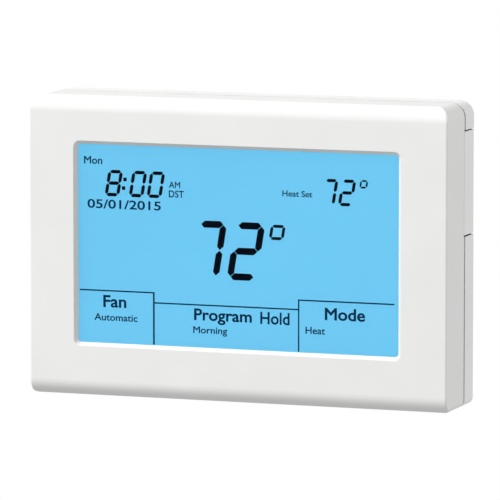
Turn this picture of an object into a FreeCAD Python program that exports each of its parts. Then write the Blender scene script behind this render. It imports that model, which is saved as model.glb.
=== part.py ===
"""Wall thermostat: touch display unit, side-loading battery tray and wall plate.

All sizes are in millimetres. The wall is the plane y = 0, the display faces -y,
+x is to the right of somebody who faces the display, and +z is up. The origin is
the middle of the wall plate's rear face. Depths are given as distances from the
wall, so a piece that starts 13 from the wall starts at y = -13.
"""

import FreeCAD, Part
import math
import os

Vector = FreeCAD.Vector

# Casing, as seen from the front
WIDTH = 152.0
HEIGHT = 104.5
CORNER_RADIUS = 5.0         # upper corners
LOWER_CORNER_RADIUS = 2.2
EDGE_ROUND = 5.5            # long rounds at the top and bottom of the front face
SIDE_EDGE_FILLET = 0.8      # tight fillet down the two sides of the front face
COVER_WALL = 2.2
HOUSING_WALL = 2.0
WALL_GAP = 0.4              # casing's rear edge to the wall
SMALLEST_RADIUS = 0.5

# Parting line between front cover and rear housing
HOUSING_RIM = 9.9           # wall to the front edge of the rear housing
SEAM_GAP = 1.0
SHELF_THICKNESS = 1.5
LIP_HEIGHT = 2.5
LIP_WALL = 1.4
LIP_CLEARANCE = 0.2
THUMB_BEVEL = 0.6           # eases the housing's front edge along the underside

# Display window
SIDE_BORDER = 17.7          # casing side to the visible edge of the display
TOP_BORDER = 16.65
BOTTOM_BORDER = 18.85
WINDOW_RADIUS = 1.2
WINDOW_BEVEL = 1.2
WINDOW_BEVEL_DEPTH = 1.5
WINDOW_RECESS = 2.1         # front face to touch panel
GASKET_THICKNESS = 0.5

# Display stack, front to back
TOUCH_THICKNESS = 1.2
POLARISER_THICKNESS = 0.2
GLASS_THICKNESS = 1.1
DIFFUSER_THICKNESS = 0.3
GUIDE_THICKNESS = 2.5
REFLECTOR_THICKNESS = 0.2
FRAME_FLOOR = 1.0
FRAME_TO_BOARD = 0.5
PANEL_SIDE_MARGIN = 3.5     # glass beyond the visible area
PANEL_TOP_MARGIN = 2.5
PANEL_BOTTOM_MARGIN = 5.5
CONTACT_LEDGE = 4.0         # front glass left bare for the contact strip
PANEL_CLEARANCE = 0.4
FRAME_RIM = 3.8
STRIP_WIDTH = 2.0
STRIP_CLEARANCE = 0.3
TAIL_WIDTH = 10.0
TAIL_THICKNESS = 0.2
LED_LENGTH = 3.0
LED_DEPTH = 1.4
LED_COUNT = 5
LED_BOARD_THICKNESS = 0.6

# Circuit board and what stands on its rear face
BOARD_THICKNESS = 1.6
BOARD_SPACE = 5.0           # board to deck
BOARD_OVERHANG = 1.0        # board beyond the display frame, left and right
CHIP_SIDE = 14.0
CHIP_HEIGHT = 1.5
LEAD_LENGTH = 1.2
LEADS_PER_SIDE = 11
CRYSTAL_LENGTH = 11.0
CRYSTAL_WIDTH = 4.6
CRYSTAL_HEIGHT = 3.6
SOUNDER_RADIUS = 6.0
SOUNDER_HEIGHT = 4.0
RELAY_LENGTH = 19.0
RELAY_WIDTH = 10.0
RELAY_HEIGHT = 10.0
RELAY_COUNT = 4
RELAY_PITCH = 12.5
RELAY_START = 15.0          # lower edge of the board to the first relay
CAPACITOR_RADIUS = 4.0
CAPACITOR_HEIGHT = 9.0
CAPACITOR_START = 14.0      # upper edge of the board to the first row
SENSOR_RADIUS = 1.3
SENSOR_LENGTH = 3.2
COMPONENT_CLEARANCE = 0.5

# Rear housing decks
DECK_THICKNESS = 1.5
LOW_BAY_WIDTH = 34.0        # deep bay on the left that takes the relays

# Batteries, tray and bay
CELL_DIAMETER = 10.2
CELL_LENGTH = 44.5
CELL_NUB_RADIUS = 1.9
CELL_NUB_LENGTH = 0.9
CELL_CLEARANCE = 0.1
CELL_WEB = 1.6              # plastic between the two cells
TRAY_FLOOR = 0.3
TRAY_WALL = 1.75
TRAY_TONGUE = 4.7
TONGUE_THICKNESS = 2.0
TONGUE_TAIL = 4.0           # tongues beyond the inner end of the cells
GUIDE_RIB = 1.2
RUNNING_CLEARANCE = 0.3
TRAY_TO_DECK = 0.5
DOOR_THICKNESS = 2.0
DOOR_FROM_TOP = 9.7
DOOR_GAP = 0.4
LINK_SPACE = 3.0            # between door and cells
CONTACT_SPACE = 6.5         # between bay end wall and cells
SHEET_THICKNESS = 0.4
SPRING_WIRE = 0.6
SPRING_RADIUS = 2.6
RUNS_PER_TURN = 16

# Wall plate
PLATE_THICKNESS = 2.2
PLATE_CLEARANCE = 0.6
BOX_SCREW_SPACING = 83.3    # one-gang wall box
SIDE_SCREW_SPACING = 96.0
SIDE_SCREW_DROP = 12.0
MOUNT_HOLE_RADIUS = 2.2
SIDE_SLOT_LENGTH = 5.0
WIRE_OPENING_WIDTH = 32.0
WIRE_OPENING_HEIGHT = 30.0
WIRE_OPENING_DROP = 19.0
TONGUE_WIDTH = 8.0
TONGUE_WALL = 1.2
TONGUE_NIB = 0.3

# Terminals
POLE_COUNT = 5
POLE_PITCH = 7.0
BLOCK_WIDTH = 12.0
BLOCK_INSET = 22.0          # middle of the plate to a block's near side
BLOCK_DROP = 19.5
BLOCK_CLEARANCE = 0.6
BLOCK_WALL = 1.0
POCKET_WIDTH = 5.2
TERMINAL_SCREW_INSET = 4.2
PIN_INSET = 9.0
PIN_SIDE = 1.0
PIN_CLEARANCE = 0.2
FORK_LEAF = 0.4
STRIP_THICKNESS = 0.8
WIRE_PORT = 3.0
WASHER_THICKNESS = 0.7

# Screws
CASE_SCREW_RADIUS = 1.1
CASE_SCREW_HEAD_RADIUS = 2.2
CASE_SCREW_HEAD = 1.6
CASE_SCREW_LENGTH = 9.0
CASE_SCREW_SIDE = 7.5       # screw axis to casing side
CASE_SCREW_END = 5.4        # screw axis to casing top or bottom
BOSS_RADIUS = 3.0
SMALL_SCREW_RADIUS = 0.9
SMALL_SCREW_HEAD_RADIUS = 1.7
SMALL_SCREW_HEAD = 1.1
SMALL_SCREW_LENGTH = 5.0
TERMINAL_SCREW_RADIUS = 1.25
TERMINAL_SCREW_HEAD_RADIUS = 2.1
TERMINAL_SCREW_HEAD = 1.4
SCREW_GAP = 0.02            # screw to its hole, where it holds
SCREW_PASS = 0.2            # screw to its hole, where it passes

# Ventilation slots under the sensor
VENT_COUNT = 9
VENT_WIDTH = 1.6
VENT_LENGTH = 8.0
VENT_PITCH = 4.0

# Edges of the casing
LEFT = -WIDTH / 2
RIGHT = WIDTH / 2
TOP = HEIGHT / 2
BOTTOM = -HEIGHT / 2

# Tray and bay, worked out from the cells
CELL_RADIUS = CELL_DIAMETER / 2
CHANNEL_RADIUS = CELL_RADIUS + CELL_CLEARANCE
CELL_AXIS = WALL_GAP + TRAY_FLOOR + CHANNEL_RADIUS
TRAY_FRONT = CELL_AXIS + CELL_RADIUS
CARRIAGE_HALF = 2 * CHANNEL_RADIUS + CELL_WEB / 2 + TRAY_WALL
TONGUE_HALF = CARRIAGE_HALF + TRAY_TONGUE
DOOR_HALF = TONGUE_HALF + DOOR_GAP / 2
DOOR_TOP = TOP - DOOR_FROM_TOP
DOOR_MIDDLE = DOOR_TOP - DOOR_HALF
BAY_HALF = DOOR_HALF + DOOR_GAP
DOOR_INNER = RIGHT - DOOR_THICKNESS
CELL_OUTER_END = DOOR_INNER - LINK_SPACE
CELL_INNER_END = CELL_OUTER_END - CELL_LENGTH
BAY_END = CELL_INNER_END - CONTACT_SPACE
CELL_HEIGHTS = [DOOR_MIDDLE + side * (CHANNEL_RADIUS + CELL_WEB / 2) for side in (1, -1)]

# Depths from the wall, worked outwards
COVER_BACK = HOUSING_RIM + SEAM_GAP
LIP_OUTER = COVER_WALL + LIP_CLEARANCE      # insets of the lip from the casing's outline
LIP_INNER = LIP_OUTER + LIP_WALL
DECK_BACK = TRAY_FRONT + TRAY_TO_DECK
DECK_FRONT = DECK_BACK + DECK_THICKNESS
BOARD_BACK = DECK_FRONT + BOARD_SPACE
BOARD_FRONT = BOARD_BACK + BOARD_THICKNESS
FRAME_BACK = BOARD_FRONT + FRAME_TO_BOARD
REFLECTOR_BACK = FRAME_BACK + FRAME_FLOOR
GUIDE_BACK = REFLECTOR_BACK + REFLECTOR_THICKNESS
DIFFUSER_BACK = GUIDE_BACK + GUIDE_THICKNESS
REAR_POLARISER_BACK = DIFFUSER_BACK + DIFFUSER_THICKNESS
REAR_GLASS_BACK = REAR_POLARISER_BACK + POLARISER_THICKNESS
FRONT_GLASS_BACK = REAR_GLASS_BACK + GLASS_THICKNESS
FRONT_POLARISER_BACK = FRONT_GLASS_BACK + GLASS_THICKNESS
TOUCH_BACK = FRONT_POLARISER_BACK + POLARISER_THICKNESS
TOUCH_FRONT = TOUCH_BACK + TOUCH_THICKNESS
DEPTH = TOUCH_FRONT + WINDOW_RECESS
COVER_INSIDE = DEPTH - COVER_WALL
LOW_DECK_FRONT = BOARD_BACK - RELAY_HEIGHT - COMPONENT_CLEARANCE
LOW_DECK_BACK = LOW_DECK_FRONT - DECK_THICKNESS
BLOCK_FRONT = DECK_BACK - BLOCK_CLEARANCE

# Display, seen from the front
VIEW_HALF = WIDTH / 2 - SIDE_BORDER
VIEW_TOP = TOP - TOP_BORDER
VIEW_BOTTOM = BOTTOM + BOTTOM_BORDER
PANEL_HALF = VIEW_HALF + PANEL_SIDE_MARGIN
PANEL_TOP = VIEW_TOP + PANEL_TOP_MARGIN
PANEL_BOTTOM = VIEW_BOTTOM - PANEL_BOTTOM_MARGIN
PANEL_MIDDLE = (PANEL_TOP + PANEL_BOTTOM) / 2
FRAME_HALF = PANEL_HALF + PANEL_CLEARANCE + FRAME_RIM
FRAME_TOP = PANEL_TOP + PANEL_CLEARANCE + FRAME_RIM
FRAME_BOTTOM = PANEL_BOTTOM - PANEL_CLEARANCE - FRAME_RIM
BOARD_HALF = FRAME_HALF + BOARD_OVERHANG
LIT_BOTTOM = PANEL_BOTTOM + CONTACT_LEDGE + STRIP_CLEARANCE

# Places of features in the casing and on the board
STEP_WALL = LEFT + LOW_BAY_WIDTH
CASE_SCREW_X = WIDTH / 2 - CASE_SCREW_SIDE
CASE_SCREW_Z = HEIGHT / 2 - CASE_SCREW_END
BOARD_SCREW_X = FRAME_HALF - FRAME_RIM / 2
EAR_X = (FRAME_HALF + WIDTH / 2 - COVER_WALL) / 2 - 0.5
EAR_DEPTH = 2.0
EAR_RISE = (PANEL_TOP - PANEL_BOTTOM) / 3
BOARD_SCREW_RISE = (PANEL_TOP - PANEL_BOTTOM) / 2 - 2.0
SENSOR_X = LEFT + 24.0
SENSOR_Z = BOTTOM + COVER_WALL + SENSOR_LENGTH / 2 + 1.5
POLE_HEIGHTS = [-BLOCK_DROP + (i - (POLE_COUNT - 1) / 2) * POLE_PITCH for i in range(POLE_COUNT)]
BLOCK_HALF_HEIGHT = POLE_COUNT * POLE_PITCH / 2 + BLOCK_WALL / 2
SIDES = (-1, 1)


def block(x0, x1, front, back, z0, z1):
    """Box between two x values, two distances from the wall and two heights."""
    return Part.makeBox(x1 - x0, front - back, z1 - z0, Vector(x0, -front, z0))


def rod(x, z, radius, front, back):
    """Cylinder square to the wall."""
    return Part.makeCylinder(radius, front - back, Vector(x, -front, z), Vector(0, 1, 0))


def outline(x0, x1, z0, z1, upper_radius, distance, lower_radius=None):
    """Closed wire of a rounded rectangle, parallel to the wall."""
    corners = [(x1, z1, 0), (x0, z1, 90), (x0, z0, 180), (x1, z0, 270)]
    if lower_radius is None:
        lower_radius = upper_radius
    edges = []
    previous = None
    first = None
    for x, z, start in corners:
        radius = upper_radius if z == z1 else lower_radius
        centre_x = x - radius if x == x1 else x + radius
        centre_z = z - radius if z == z1 else z + radius
        points = []
        for angle in (start, start + 45, start + 90):
            turn = math.radians(angle)
            points.append(Vector(centre_x + radius * math.cos(turn), -distance,
                                 centre_z + radius * math.sin(turn)))
        if previous is not None:
            edges.append(Part.makeLine(previous, points[0]))
        else:
            first = points[0]
        edges.append(Part.Arc(*points).toShape())
        previous = points[2]
    edges.append(Part.makeLine(previous, first))
    return Part.Wire(edges)


def slab(x0, x1, z0, z1, upper_radius, front, back, lower_radius=None):
    """Plate with rounded corners between two distances from the wall."""
    face = Part.Face(outline(x0, x1, z0, z1, upper_radius, front, lower_radius))
    return face.extrude(Vector(0, front - back, 0))


def casing_slab(inset, front, back):
    """Plate with the casing's outline drawn in by inset."""
    upper = max(CORNER_RADIUS - inset, SMALLEST_RADIUS)
    lower = max(LOWER_CORNER_RADIUS - inset, SMALLEST_RADIUS)
    return slab(LEFT + inset, RIGHT - inset, BOTTOM + inset, TOP - inset, upper, front, back, lower)


def casing_ring(outer_inset, inner_inset, front, back):
    """Wall that follows the casing's outline."""
    return casing_slab(outer_inset, front, back).cut(casing_slab(inner_inset, front, back))


def rounded_profile(inset, front, back):
    """Bar along x whose two front edges carry the casing's long rounds."""
    radius = EDGE_ROUND - inset
    half = HEIGHT / 2 - inset
    lean = radius * math.sqrt(0.5)
    points = {
        "back_low": Vector(LEFT, -back, -half),
        "low": Vector(LEFT, -(front - radius), -half),
        "low_mid": Vector(LEFT, -(front - radius) - lean, -half + radius - lean),
        "front_low": Vector(LEFT, -front, -half + radius),
        "front_high": Vector(LEFT, -front, half - radius),
        "high_mid": Vector(LEFT, -(front - radius) - lean, half - radius + lean),
        "high": Vector(LEFT, -(front - radius), half),
        "back_high": Vector(LEFT, -back, half),
    }
    edges = [
        Part.makeLine(points["back_low"], points["low"]),
        Part.Arc(points["low"], points["low_mid"], points["front_low"]).toShape(),
        Part.makeLine(points["front_low"], points["front_high"]),
        Part.Arc(points["front_high"], points["high_mid"], points["high"]).toShape(),
        Part.makeLine(points["high"], points["back_high"]),
        Part.makeLine(points["back_high"], points["back_low"]),
    ]
    return Part.Face(Part.Wire(edges)).extrude(Vector(WIDTH, 0, 0))


def edges_at(shape, distance):
    """Edges of a shape that lie wholly at one distance from the wall."""
    chosen = []
    for edge in shape.Edges:
        box = edge.BoundBox
        if abs(box.YMin + distance) < 0.001 and abs(box.YMax + distance) < 0.001:
            chosen.append(edge)
    return chosen


def crease_edges(shape):
    """Edges of the casing's front rounds where two faces meet at an angle."""
    creases = []
    for edge in shape.Edges:
        if edge.BoundBox.YMax > EDGE_ROUND - DEPTH + 0.001:
            continue
        middle = edge.valueAt((edge.FirstParameter + edge.LastParameter) / 2)
        normals = [face.normalAt(*face.Surface.parameter(middle))
                   for face in shape.ancestorsOfType(edge, Part.Face)]
        if normals[0].getAngle(normals[1]) > 0.05:
            creases.append(edge)
    return creases


def screw(x, z, seat, length, radius, head_radius, head, toward=1):
    """Pan-head screw whose head rests at seat and whose shank runs toward the front (1) or wall (-1)."""
    tip = seat + toward * length
    top = seat - toward * head
    shank = rod(x, z, radius, max(seat, tip), min(seat, tip))
    cap = rod(x, z, head_radius, max(seat, top), min(seat, top))
    rim = edges_at(cap, top)
    cap = cap.makeFillet(head * 0.4, rim)
    slot_floor = top + toward * head * 0.5
    arm = head_radius * 0.6
    half = head_radius * 0.13
    front = max(top, slot_floor) + (0.1 if toward < 0 else 0)
    back = min(top, slot_floor) - (0.1 if toward > 0 else 0)
    cross = block(x - arm, x + arm, front, back, z - half, z + half)
    cross = cross.fuse(block(x - half, x + half, front, back, z - arm, z + arm))
    return shank.fuse(cap).removeSplitter().cut(cross)


def coil(x, z, distance, length, radius, turns):
    """Compression spring along x, wound in short mitred runs of wire."""
    count = round(turns * RUNS_PER_TURN)
    points = []
    for i in range(count + 1):
        turn = 2 * math.pi * i / RUNS_PER_TURN
        points.append(Vector(x + length * i / count, radius * math.cos(turn) - distance,
                             z + radius * math.sin(turn)))
    section = Part.Wire(Part.makeCircle(SPRING_WIRE / 2, points[0], points[1] - points[0]))
    return Part.makePolygon(points).makePipeShell([section], True, False, 1)


def group(pieces):
    """Several separate solids of one node."""
    return Part.makeCompound(pieces)


# Casing

def case_screw_places():
    """Axes of the four screws that close the casing."""
    return [(side * CASE_SCREW_X, end * CASE_SCREW_Z) for side in SIDES for end in SIDES]


def ear_places():
    """Axes of the four screws that hold the display frame."""
    return [(side * EAR_X, PANEL_MIDDLE + end * EAR_RISE) for side in SIDES for end in SIDES]


def board_screw_places():
    """Axes of the four screws that hold the circuit board."""
    return [(side * BOARD_SCREW_X, PANEL_MIDDLE + end * BOARD_SCREW_RISE)
            for side in SIDES for end in SIDES]


def window_cut():
    """Window with its sloping border and the seat for the gasket behind it."""
    flare_front = outline(-VIEW_HALF - WINDOW_BEVEL, VIEW_HALF + WINDOW_BEVEL,
                          VIEW_BOTTOM - WINDOW_BEVEL, VIEW_TOP + WINDOW_BEVEL,
                          WINDOW_RADIUS + WINDOW_BEVEL, DEPTH)
    flare_back = outline(-VIEW_HALF, VIEW_HALF, VIEW_BOTTOM, VIEW_TOP,
                         WINDOW_RADIUS, DEPTH - WINDOW_BEVEL_DEPTH)
    flare = Part.makeLoft([flare_front, flare_back], True, True)
    through = slab(-VIEW_HALF, VIEW_HALF, VIEW_BOTTOM, VIEW_TOP, WINDOW_RADIUS,
                   DEPTH - WINDOW_BEVEL_DEPTH, COVER_INSIDE - 1)
    seat_front = TOUCH_FRONT + GASKET_THICKNESS
    reach = PANEL_CLEARANCE
    seat = block(-PANEL_HALF - reach, PANEL_HALF + reach, seat_front, COVER_INSIDE - 1,
                 PANEL_BOTTOM - reach, PANEL_TOP + reach)
    return flare.fuse([through, seat])


def vent_slots():
    """Slots through the underside, below the temperature sensor."""
    front = DEPTH - EDGE_ROUND - 1.0
    slots = []
    for i in range(VENT_COUNT):
        x = SENSOR_X + (i - (VENT_COUNT - 1) / 2) * VENT_PITCH
        slots.append(block(x - VENT_WIDTH / 2, x + VENT_WIDTH / 2, front, front - VENT_LENGTH,
                           BOTTOM - 1, BOTTOM + COVER_WALL + 1))
    return slots


def front_cover():
    """Moulded cover with the display window."""
    outside = casing_slab(0, DEPTH, COVER_BACK).common(rounded_profile(0, DEPTH, COVER_BACK))
    outside = outside.makeFillet(SIDE_EDGE_FILLET, crease_edges(outside))
    inside = casing_slab(COVER_WALL, COVER_INSIDE, COVER_BACK)
    inside = inside.common(rounded_profile(COVER_WALL, COVER_INSIDE, COVER_BACK))
    cover = outside.cut(inside)
    for x, z in case_screw_places():
        cover = cover.fuse(rod(x, z, BOSS_RADIUS, COVER_INSIDE, DECK_FRONT))
    for x, z in ear_places():
        cover = cover.fuse(rod(x, z, SMALL_SCREW_HEAD_RADIUS + 0.5, COVER_INSIDE, FRAME_BACK + EAR_DEPTH))
    cuts = [window_cut()] + vent_slots()
    for x, z in case_screw_places():
        cuts.append(rod(x, z, CASE_SCREW_RADIUS + SCREW_GAP, DECK_FRONT + CASE_SCREW_LENGTH, DECK_FRONT))
    for x, z in ear_places():
        seat = FRAME_BACK + EAR_DEPTH
        cuts.append(rod(x, z, SMALL_SCREW_RADIUS + SCREW_GAP, seat + SMALL_SCREW_LENGTH - 1, seat))
    cuts.append(block(DOOR_INNER - COVER_WALL, RIGHT + 1, TRAY_FRONT + DOOR_GAP, COVER_BACK - 1,
                      DOOR_MIDDLE - BAY_HALF, DOOR_MIDDLE + BAY_HALF))
    return cover.cut(cuts).removeSplitter()


def bay_guides():
    """Ribs above and below the tray, with a groove for its tongues."""
    ribs = []
    half_groove = TONGUE_THICKNESS / 2 + RUNNING_CLEARANCE
    reach = BAY_HALF - CARRIAGE_HALF - RUNNING_CLEARANCE
    for side in SIDES:
        wall = DOOR_MIDDLE + side * BAY_HALF
        tip = wall - side * reach
        low = min(wall, tip)
        high = max(wall, tip)
        for face in SIDES:
            near = CELL_AXIS + face * half_groove
            far = near + face * GUIDE_RIB
            ribs.append(block(BAY_END, RIGHT - LIP_INNER, max(near, far), min(near, far), low, high))
    return ribs


def bay_walls():
    """Walls round the battery bay, from the deck to the rear edge."""
    low = DOOR_MIDDLE - BAY_HALF
    high = DOOR_MIDDLE + BAY_HALF
    wall = DECK_THICKNESS
    front = DECK_BACK + 0.1
    inside_lip = block(BAY_END - wall, RIGHT - LIP_OUTER, front, WALL_GAP, low - wall, high + wall)
    behind_rim = block(BAY_END - wall, RIGHT - HOUSING_WALL / 2, HOUSING_RIM, WALL_GAP, low - wall, high + wall)
    inner = block(BAY_END, RIGHT, front, WALL_GAP, low, high)
    return inside_lip.fuse(behind_rim).cut(inner)


def rear_housing():
    """Moulded rear half with the shelf, lip, decks, battery bay and screw wells."""
    deck_inset = LIP_INNER - 0.1
    rim = casing_ring(0, HOUSING_WALL, HOUSING_RIM, WALL_GAP)
    shelf = casing_ring(0, LIP_INNER, HOUSING_RIM, HOUSING_RIM - SHELF_THICKNESS)
    lip = casing_ring(LIP_OUTER, LIP_INNER, HOUSING_RIM + LIP_HEIGHT, HOUSING_RIM - SHELF_THICKNESS)
    deck = casing_slab(deck_inset, DECK_FRONT, DECK_BACK)
    right_side = block(STEP_WALL, RIGHT, DECK_FRONT + 1, 0, BOTTOM, TOP)
    left_side = block(LEFT, STEP_WALL, DECK_FRONT + 1, 0, BOTTOM, TOP)
    deck = deck.common(right_side)
    low_deck = casing_slab(HOUSING_WALL - 0.1, LOW_DECK_FRONT, LOW_DECK_BACK).common(left_side)
    step = casing_slab(deck_inset, DECK_FRONT, LOW_DECK_BACK)
    step = step.common(block(STEP_WALL - DECK_THICKNESS, STEP_WALL, DECK_FRONT, 0, BOTTOM, TOP))
    pieces = [shelf, lip, deck, low_deck, step, bay_walls()] + bay_guides()
    inside_lip = casing_slab(LIP_OUTER, DECK_FRONT, LOW_DECK_BACK)
    for x, z in case_screw_places():
        if x < STEP_WALL:
            well = rod(x, z, CASE_SCREW_HEAD_RADIUS + 1.4, DECK_FRONT, LOW_DECK_BACK)
            pieces.append(well.common(inside_lip))
    housing = rim.fuse(pieces)
    cuts = [block(RIGHT - LIP_INNER - DOOR_GAP, RIGHT + 1, TRAY_FRONT + DOOR_GAP, 0,
                  DOOR_MIDDLE - BAY_HALF, DOOR_MIDDLE + BAY_HALF)]
    for x, z in case_screw_places():
        cuts.append(rod(x, z, CASE_SCREW_RADIUS + SCREW_PASS, DECK_FRONT, 0))
        cuts.append(rod(x, z, CASE_SCREW_HEAD_RADIUS + SCREW_PASS, DECK_BACK, 0))
    half = PIN_SIDE / 2 + RUNNING_CLEARANCE
    for side in SIDES:
        x = side * (BLOCK_INSET + PIN_INSET)
        cuts.append(block(x - half, x + half, DECK_FRONT, DECK_BACK,
                          POLE_HEIGHTS[0] - POLE_PITCH / 2, POLE_HEIGHTS[-1] + POLE_PITCH / 2))
    for z in CELL_HEIGHTS:
        cuts.append(contact_leg_slot(z))
    thumb = block(LEFT, RIGHT, HOUSING_RIM + 1, HOUSING_RIM - THUMB_BEVEL, BOTTOM - 1, BOTTOM + THUMB_BEVEL)
    cuts.append(thumb)
    return housing.cut(cuts).removeSplitter()


def contact_leg_slot(z):
    """Slot through the deck for one battery contact's leg."""
    gap = RUNNING_CLEARANCE
    return block(BAY_END - 0.1, BAY_END + SHEET_THICKNESS + gap, DECK_FRONT, DECK_BACK - 0.1,
                 z - 1.5 - gap, z + 1.5 + gap)


def case_screws():
    """Four screws through the housing into the cover's bosses."""
    return group([screw(x, z, DECK_BACK, CASE_SCREW_LENGTH, CASE_SCREW_RADIUS,
                        CASE_SCREW_HEAD_RADIUS, CASE_SCREW_HEAD) for x, z in case_screw_places()])


# Display

def panel(top, bottom, half, front, back):
    """Flat rectangular sheet of the display stack."""
    return block(-half, half, front, back, bottom, top)


def window_gasket():
    """Foam frame between the cover and the touch panel."""
    inner = 0.5
    whole = panel(PANEL_TOP, PANEL_BOTTOM, PANEL_HALF, TOUCH_FRONT + GASKET_THICKNESS, TOUCH_FRONT)
    hole = slab(-VIEW_HALF - inner, VIEW_HALF + inner, VIEW_BOTTOM - inner, VIEW_TOP + inner,
                WINDOW_RADIUS, TOUCH_FRONT + GASKET_THICKNESS, TOUCH_FRONT)
    return whole.cut(hole)


def touch_panel():
    """Resistive touch panel."""
    return panel(PANEL_TOP, PANEL_BOTTOM, PANEL_HALF, TOUCH_FRONT, TOUCH_BACK)


def front_polariser():
    """Film on the display's front glass."""
    return panel(PANEL_TOP - 0.5, PANEL_BOTTOM + 0.5, PANEL_HALF - 0.5, TOUCH_BACK, FRONT_POLARISER_BACK)


def lcd_front_glass():
    """Front glass, which carries the contact ledge."""
    return panel(PANEL_TOP, PANEL_BOTTOM, PANEL_HALF, FRONT_POLARISER_BACK, FRONT_GLASS_BACK)


def lcd_rear_glass():
    """Rear glass, shorter by the contact ledge."""
    return panel(PANEL_TOP, PANEL_BOTTOM + CONTACT_LEDGE, PANEL_HALF, FRONT_GLASS_BACK, REAR_GLASS_BACK)


def rear_polariser():
    """Film on the display's rear glass."""
    return panel(PANEL_TOP - 0.5, LIT_BOTTOM, PANEL_HALF - 0.5, REAR_GLASS_BACK, REAR_POLARISER_BACK)


def diffuser_film():
    """Film that evens out the backlight."""
    return panel(PANEL_TOP - 0.5, LIT_BOTTOM, PANEL_HALF - 0.5, REAR_POLARISER_BACK, DIFFUSER_BACK)


def guide_half_width():
    """Half width of the light guide, which leaves room for the lamps at both ends."""
    return PANEL_HALF - LED_BOARD_THICKNESS - LED_DEPTH - 2 * TAIL_THICKNESS


def light_guide():
    """Clear plate with dimples at its back that turn the light forwards."""
    half = guide_half_width()
    plate = panel(PANEL_TOP - 0.5, LIT_BOTTOM, half, DIFFUSER_BACK, GUIDE_BACK)
    groove_depth = 0.5
    grooves = []
    for i in range(1, 12):
        x = -half + i * 2 * half / 12
        grooves.append(block(x - 0.4, x + 0.4, GUIDE_BACK + groove_depth, GUIDE_BACK - 1,
                             LIT_BOTTOM - 1, PANEL_TOP))
    return plate.cut(grooves)


def reflector_film():
    """White film behind the light guide."""
    return panel(PANEL_TOP - 0.5, LIT_BOTTOM, guide_half_width(), GUIDE_BACK, REFLECTOR_BACK)


def led_heights():
    """Heights of the lamps along each end of the light guide."""
    span = PANEL_TOP - LIT_BOTTOM - 10.0
    return [LIT_BOTTOM + 5.0 + i * span / (LED_COUNT - 1) for i in range(LED_COUNT)]


def backlight_boards():
    """Two narrow boards that carry the lamps."""
    boards = []
    for side in SIDES:
        near = side * (PANEL_HALF - LED_BOARD_THICKNESS)
        far = side * PANEL_HALF
        boards.append(block(min(near, far), max(near, far), DIFFUSER_BACK, GUIDE_BACK,
                            LIT_BOTTOM + 1, PANEL_TOP - 1))
    return group(boards)


def backlight_leds():
    """Side-emitting lamps, each with its lens dished into the package."""
    lamps = []
    middle = (DIFFUSER_BACK + GUIDE_BACK) / 2
    for side in SIDES:
        outer = side * (PANEL_HALF - LED_BOARD_THICKNESS)
        inner = outer - side * LED_DEPTH
        for z in led_heights():
            body = block(min(outer, inner), max(outer, inner), middle + 0.9, middle - 0.9,
                         z - LED_LENGTH / 2, z + LED_LENGTH / 2)
            dish = block(inner - 0.3, inner + 0.3, middle + 0.6, middle - 0.6,
                         z - LED_LENGTH / 2 + 0.4, z + LED_LENGTH / 2 - 0.4)
            lamps.append(body.cut(dish))
    return group(lamps)


def contact_strip_span():
    """Lowest and highest z of the elastomer contact strip."""
    low = PANEL_BOTTOM + (CONTACT_LEDGE - STRIP_WIDTH) / 2 - 0.3
    return low, low + STRIP_WIDTH


def contact_strip():
    """Layered elastomer strip that joins the display glass to the board."""
    low, high = contact_strip_span()
    return block(-VIEW_HALF, VIEW_HALF, FRONT_GLASS_BACK, BOARD_FRONT, low, high)


def tail_span():
    """Left and right edges of the touch panel's tail."""
    return -TAIL_WIDTH * 2, -TAIL_WIDTH


def display_frame():
    """Moulded tray that holds the display stack against the cover."""
    rim_front = COVER_INSIDE - PANEL_CLEARANCE / 2
    frame = block(-FRAME_HALF, FRAME_HALF, rim_front, BOARD_FRONT, FRAME_BOTTOM, FRAME_TOP)
    reach = PANEL_CLEARANCE
    pocket = block(-PANEL_HALF - reach, PANEL_HALF + reach, rim_front, REFLECTOR_BACK,
                   PANEL_BOTTOM - reach, PANEL_TOP + reach)
    behind = block(-PANEL_HALF - reach, PANEL_HALF + reach, FRAME_BACK, BOARD_FRONT,
                   PANEL_BOTTOM - reach, PANEL_TOP + reach)
    low, high = contact_strip_span()
    strip_slot = block(-VIEW_HALF - reach, VIEW_HALF + reach, REFLECTOR_BACK, FRAME_BACK,
                       low - STRIP_CLEARANCE, high + STRIP_CLEARANCE)
    tail_left, tail_right = tail_span()
    tail_slot = block(tail_left - 1, tail_right + 1, REFLECTOR_BACK, FRAME_BACK,
                      PANEL_BOTTOM - reach, PANEL_BOTTOM + reach)
    frame = frame.cut([pocket, behind, strip_slot, tail_slot])
    for x, z in ear_places():
        side = 1 if x > 0 else -1
        near = side * (FRAME_HALF - 0.5)
        ear = block(min(near, x), max(near, x), FRAME_BACK + EAR_DEPTH, FRAME_BACK, z - 2.6, z + 2.6)
        frame = frame.fuse([ear, rod(x, z, 2.6, FRAME_BACK + EAR_DEPTH, FRAME_BACK)])
    holes = []
    for x, z in ear_places():
        holes.append(rod(x, z, SMALL_SCREW_RADIUS + SCREW_PASS, FRAME_BACK + EAR_DEPTH, FRAME_BACK))
    for x, z in board_screw_places():
        holes.append(rod(x, z, SMALL_SCREW_RADIUS + SCREW_GAP, BOARD_FRONT + SMALL_SCREW_LENGTH, BOARD_FRONT))
    return frame.cut(holes).removeSplitter()


def display_screws():
    """Four screws through the display frame's ears into the cover."""
    length = EAR_DEPTH + SMALL_SCREW_LENGTH - 1.5
    return group([screw(x, z, FRAME_BACK, length, SMALL_SCREW_RADIUS, SMALL_SCREW_HEAD_RADIUS,
                        SMALL_SCREW_HEAD) for x, z in ear_places()])


def touch_tail():
    """Flexible tail from the touch panel to its connector behind the board."""
    left, right = tail_span()
    return block(left, right, TOUCH_FRONT - 0.2, BOARD_BACK - 2.0,
                 PANEL_BOTTOM - TAIL_THICKNESS, PANEL_BOTTOM)


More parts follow.
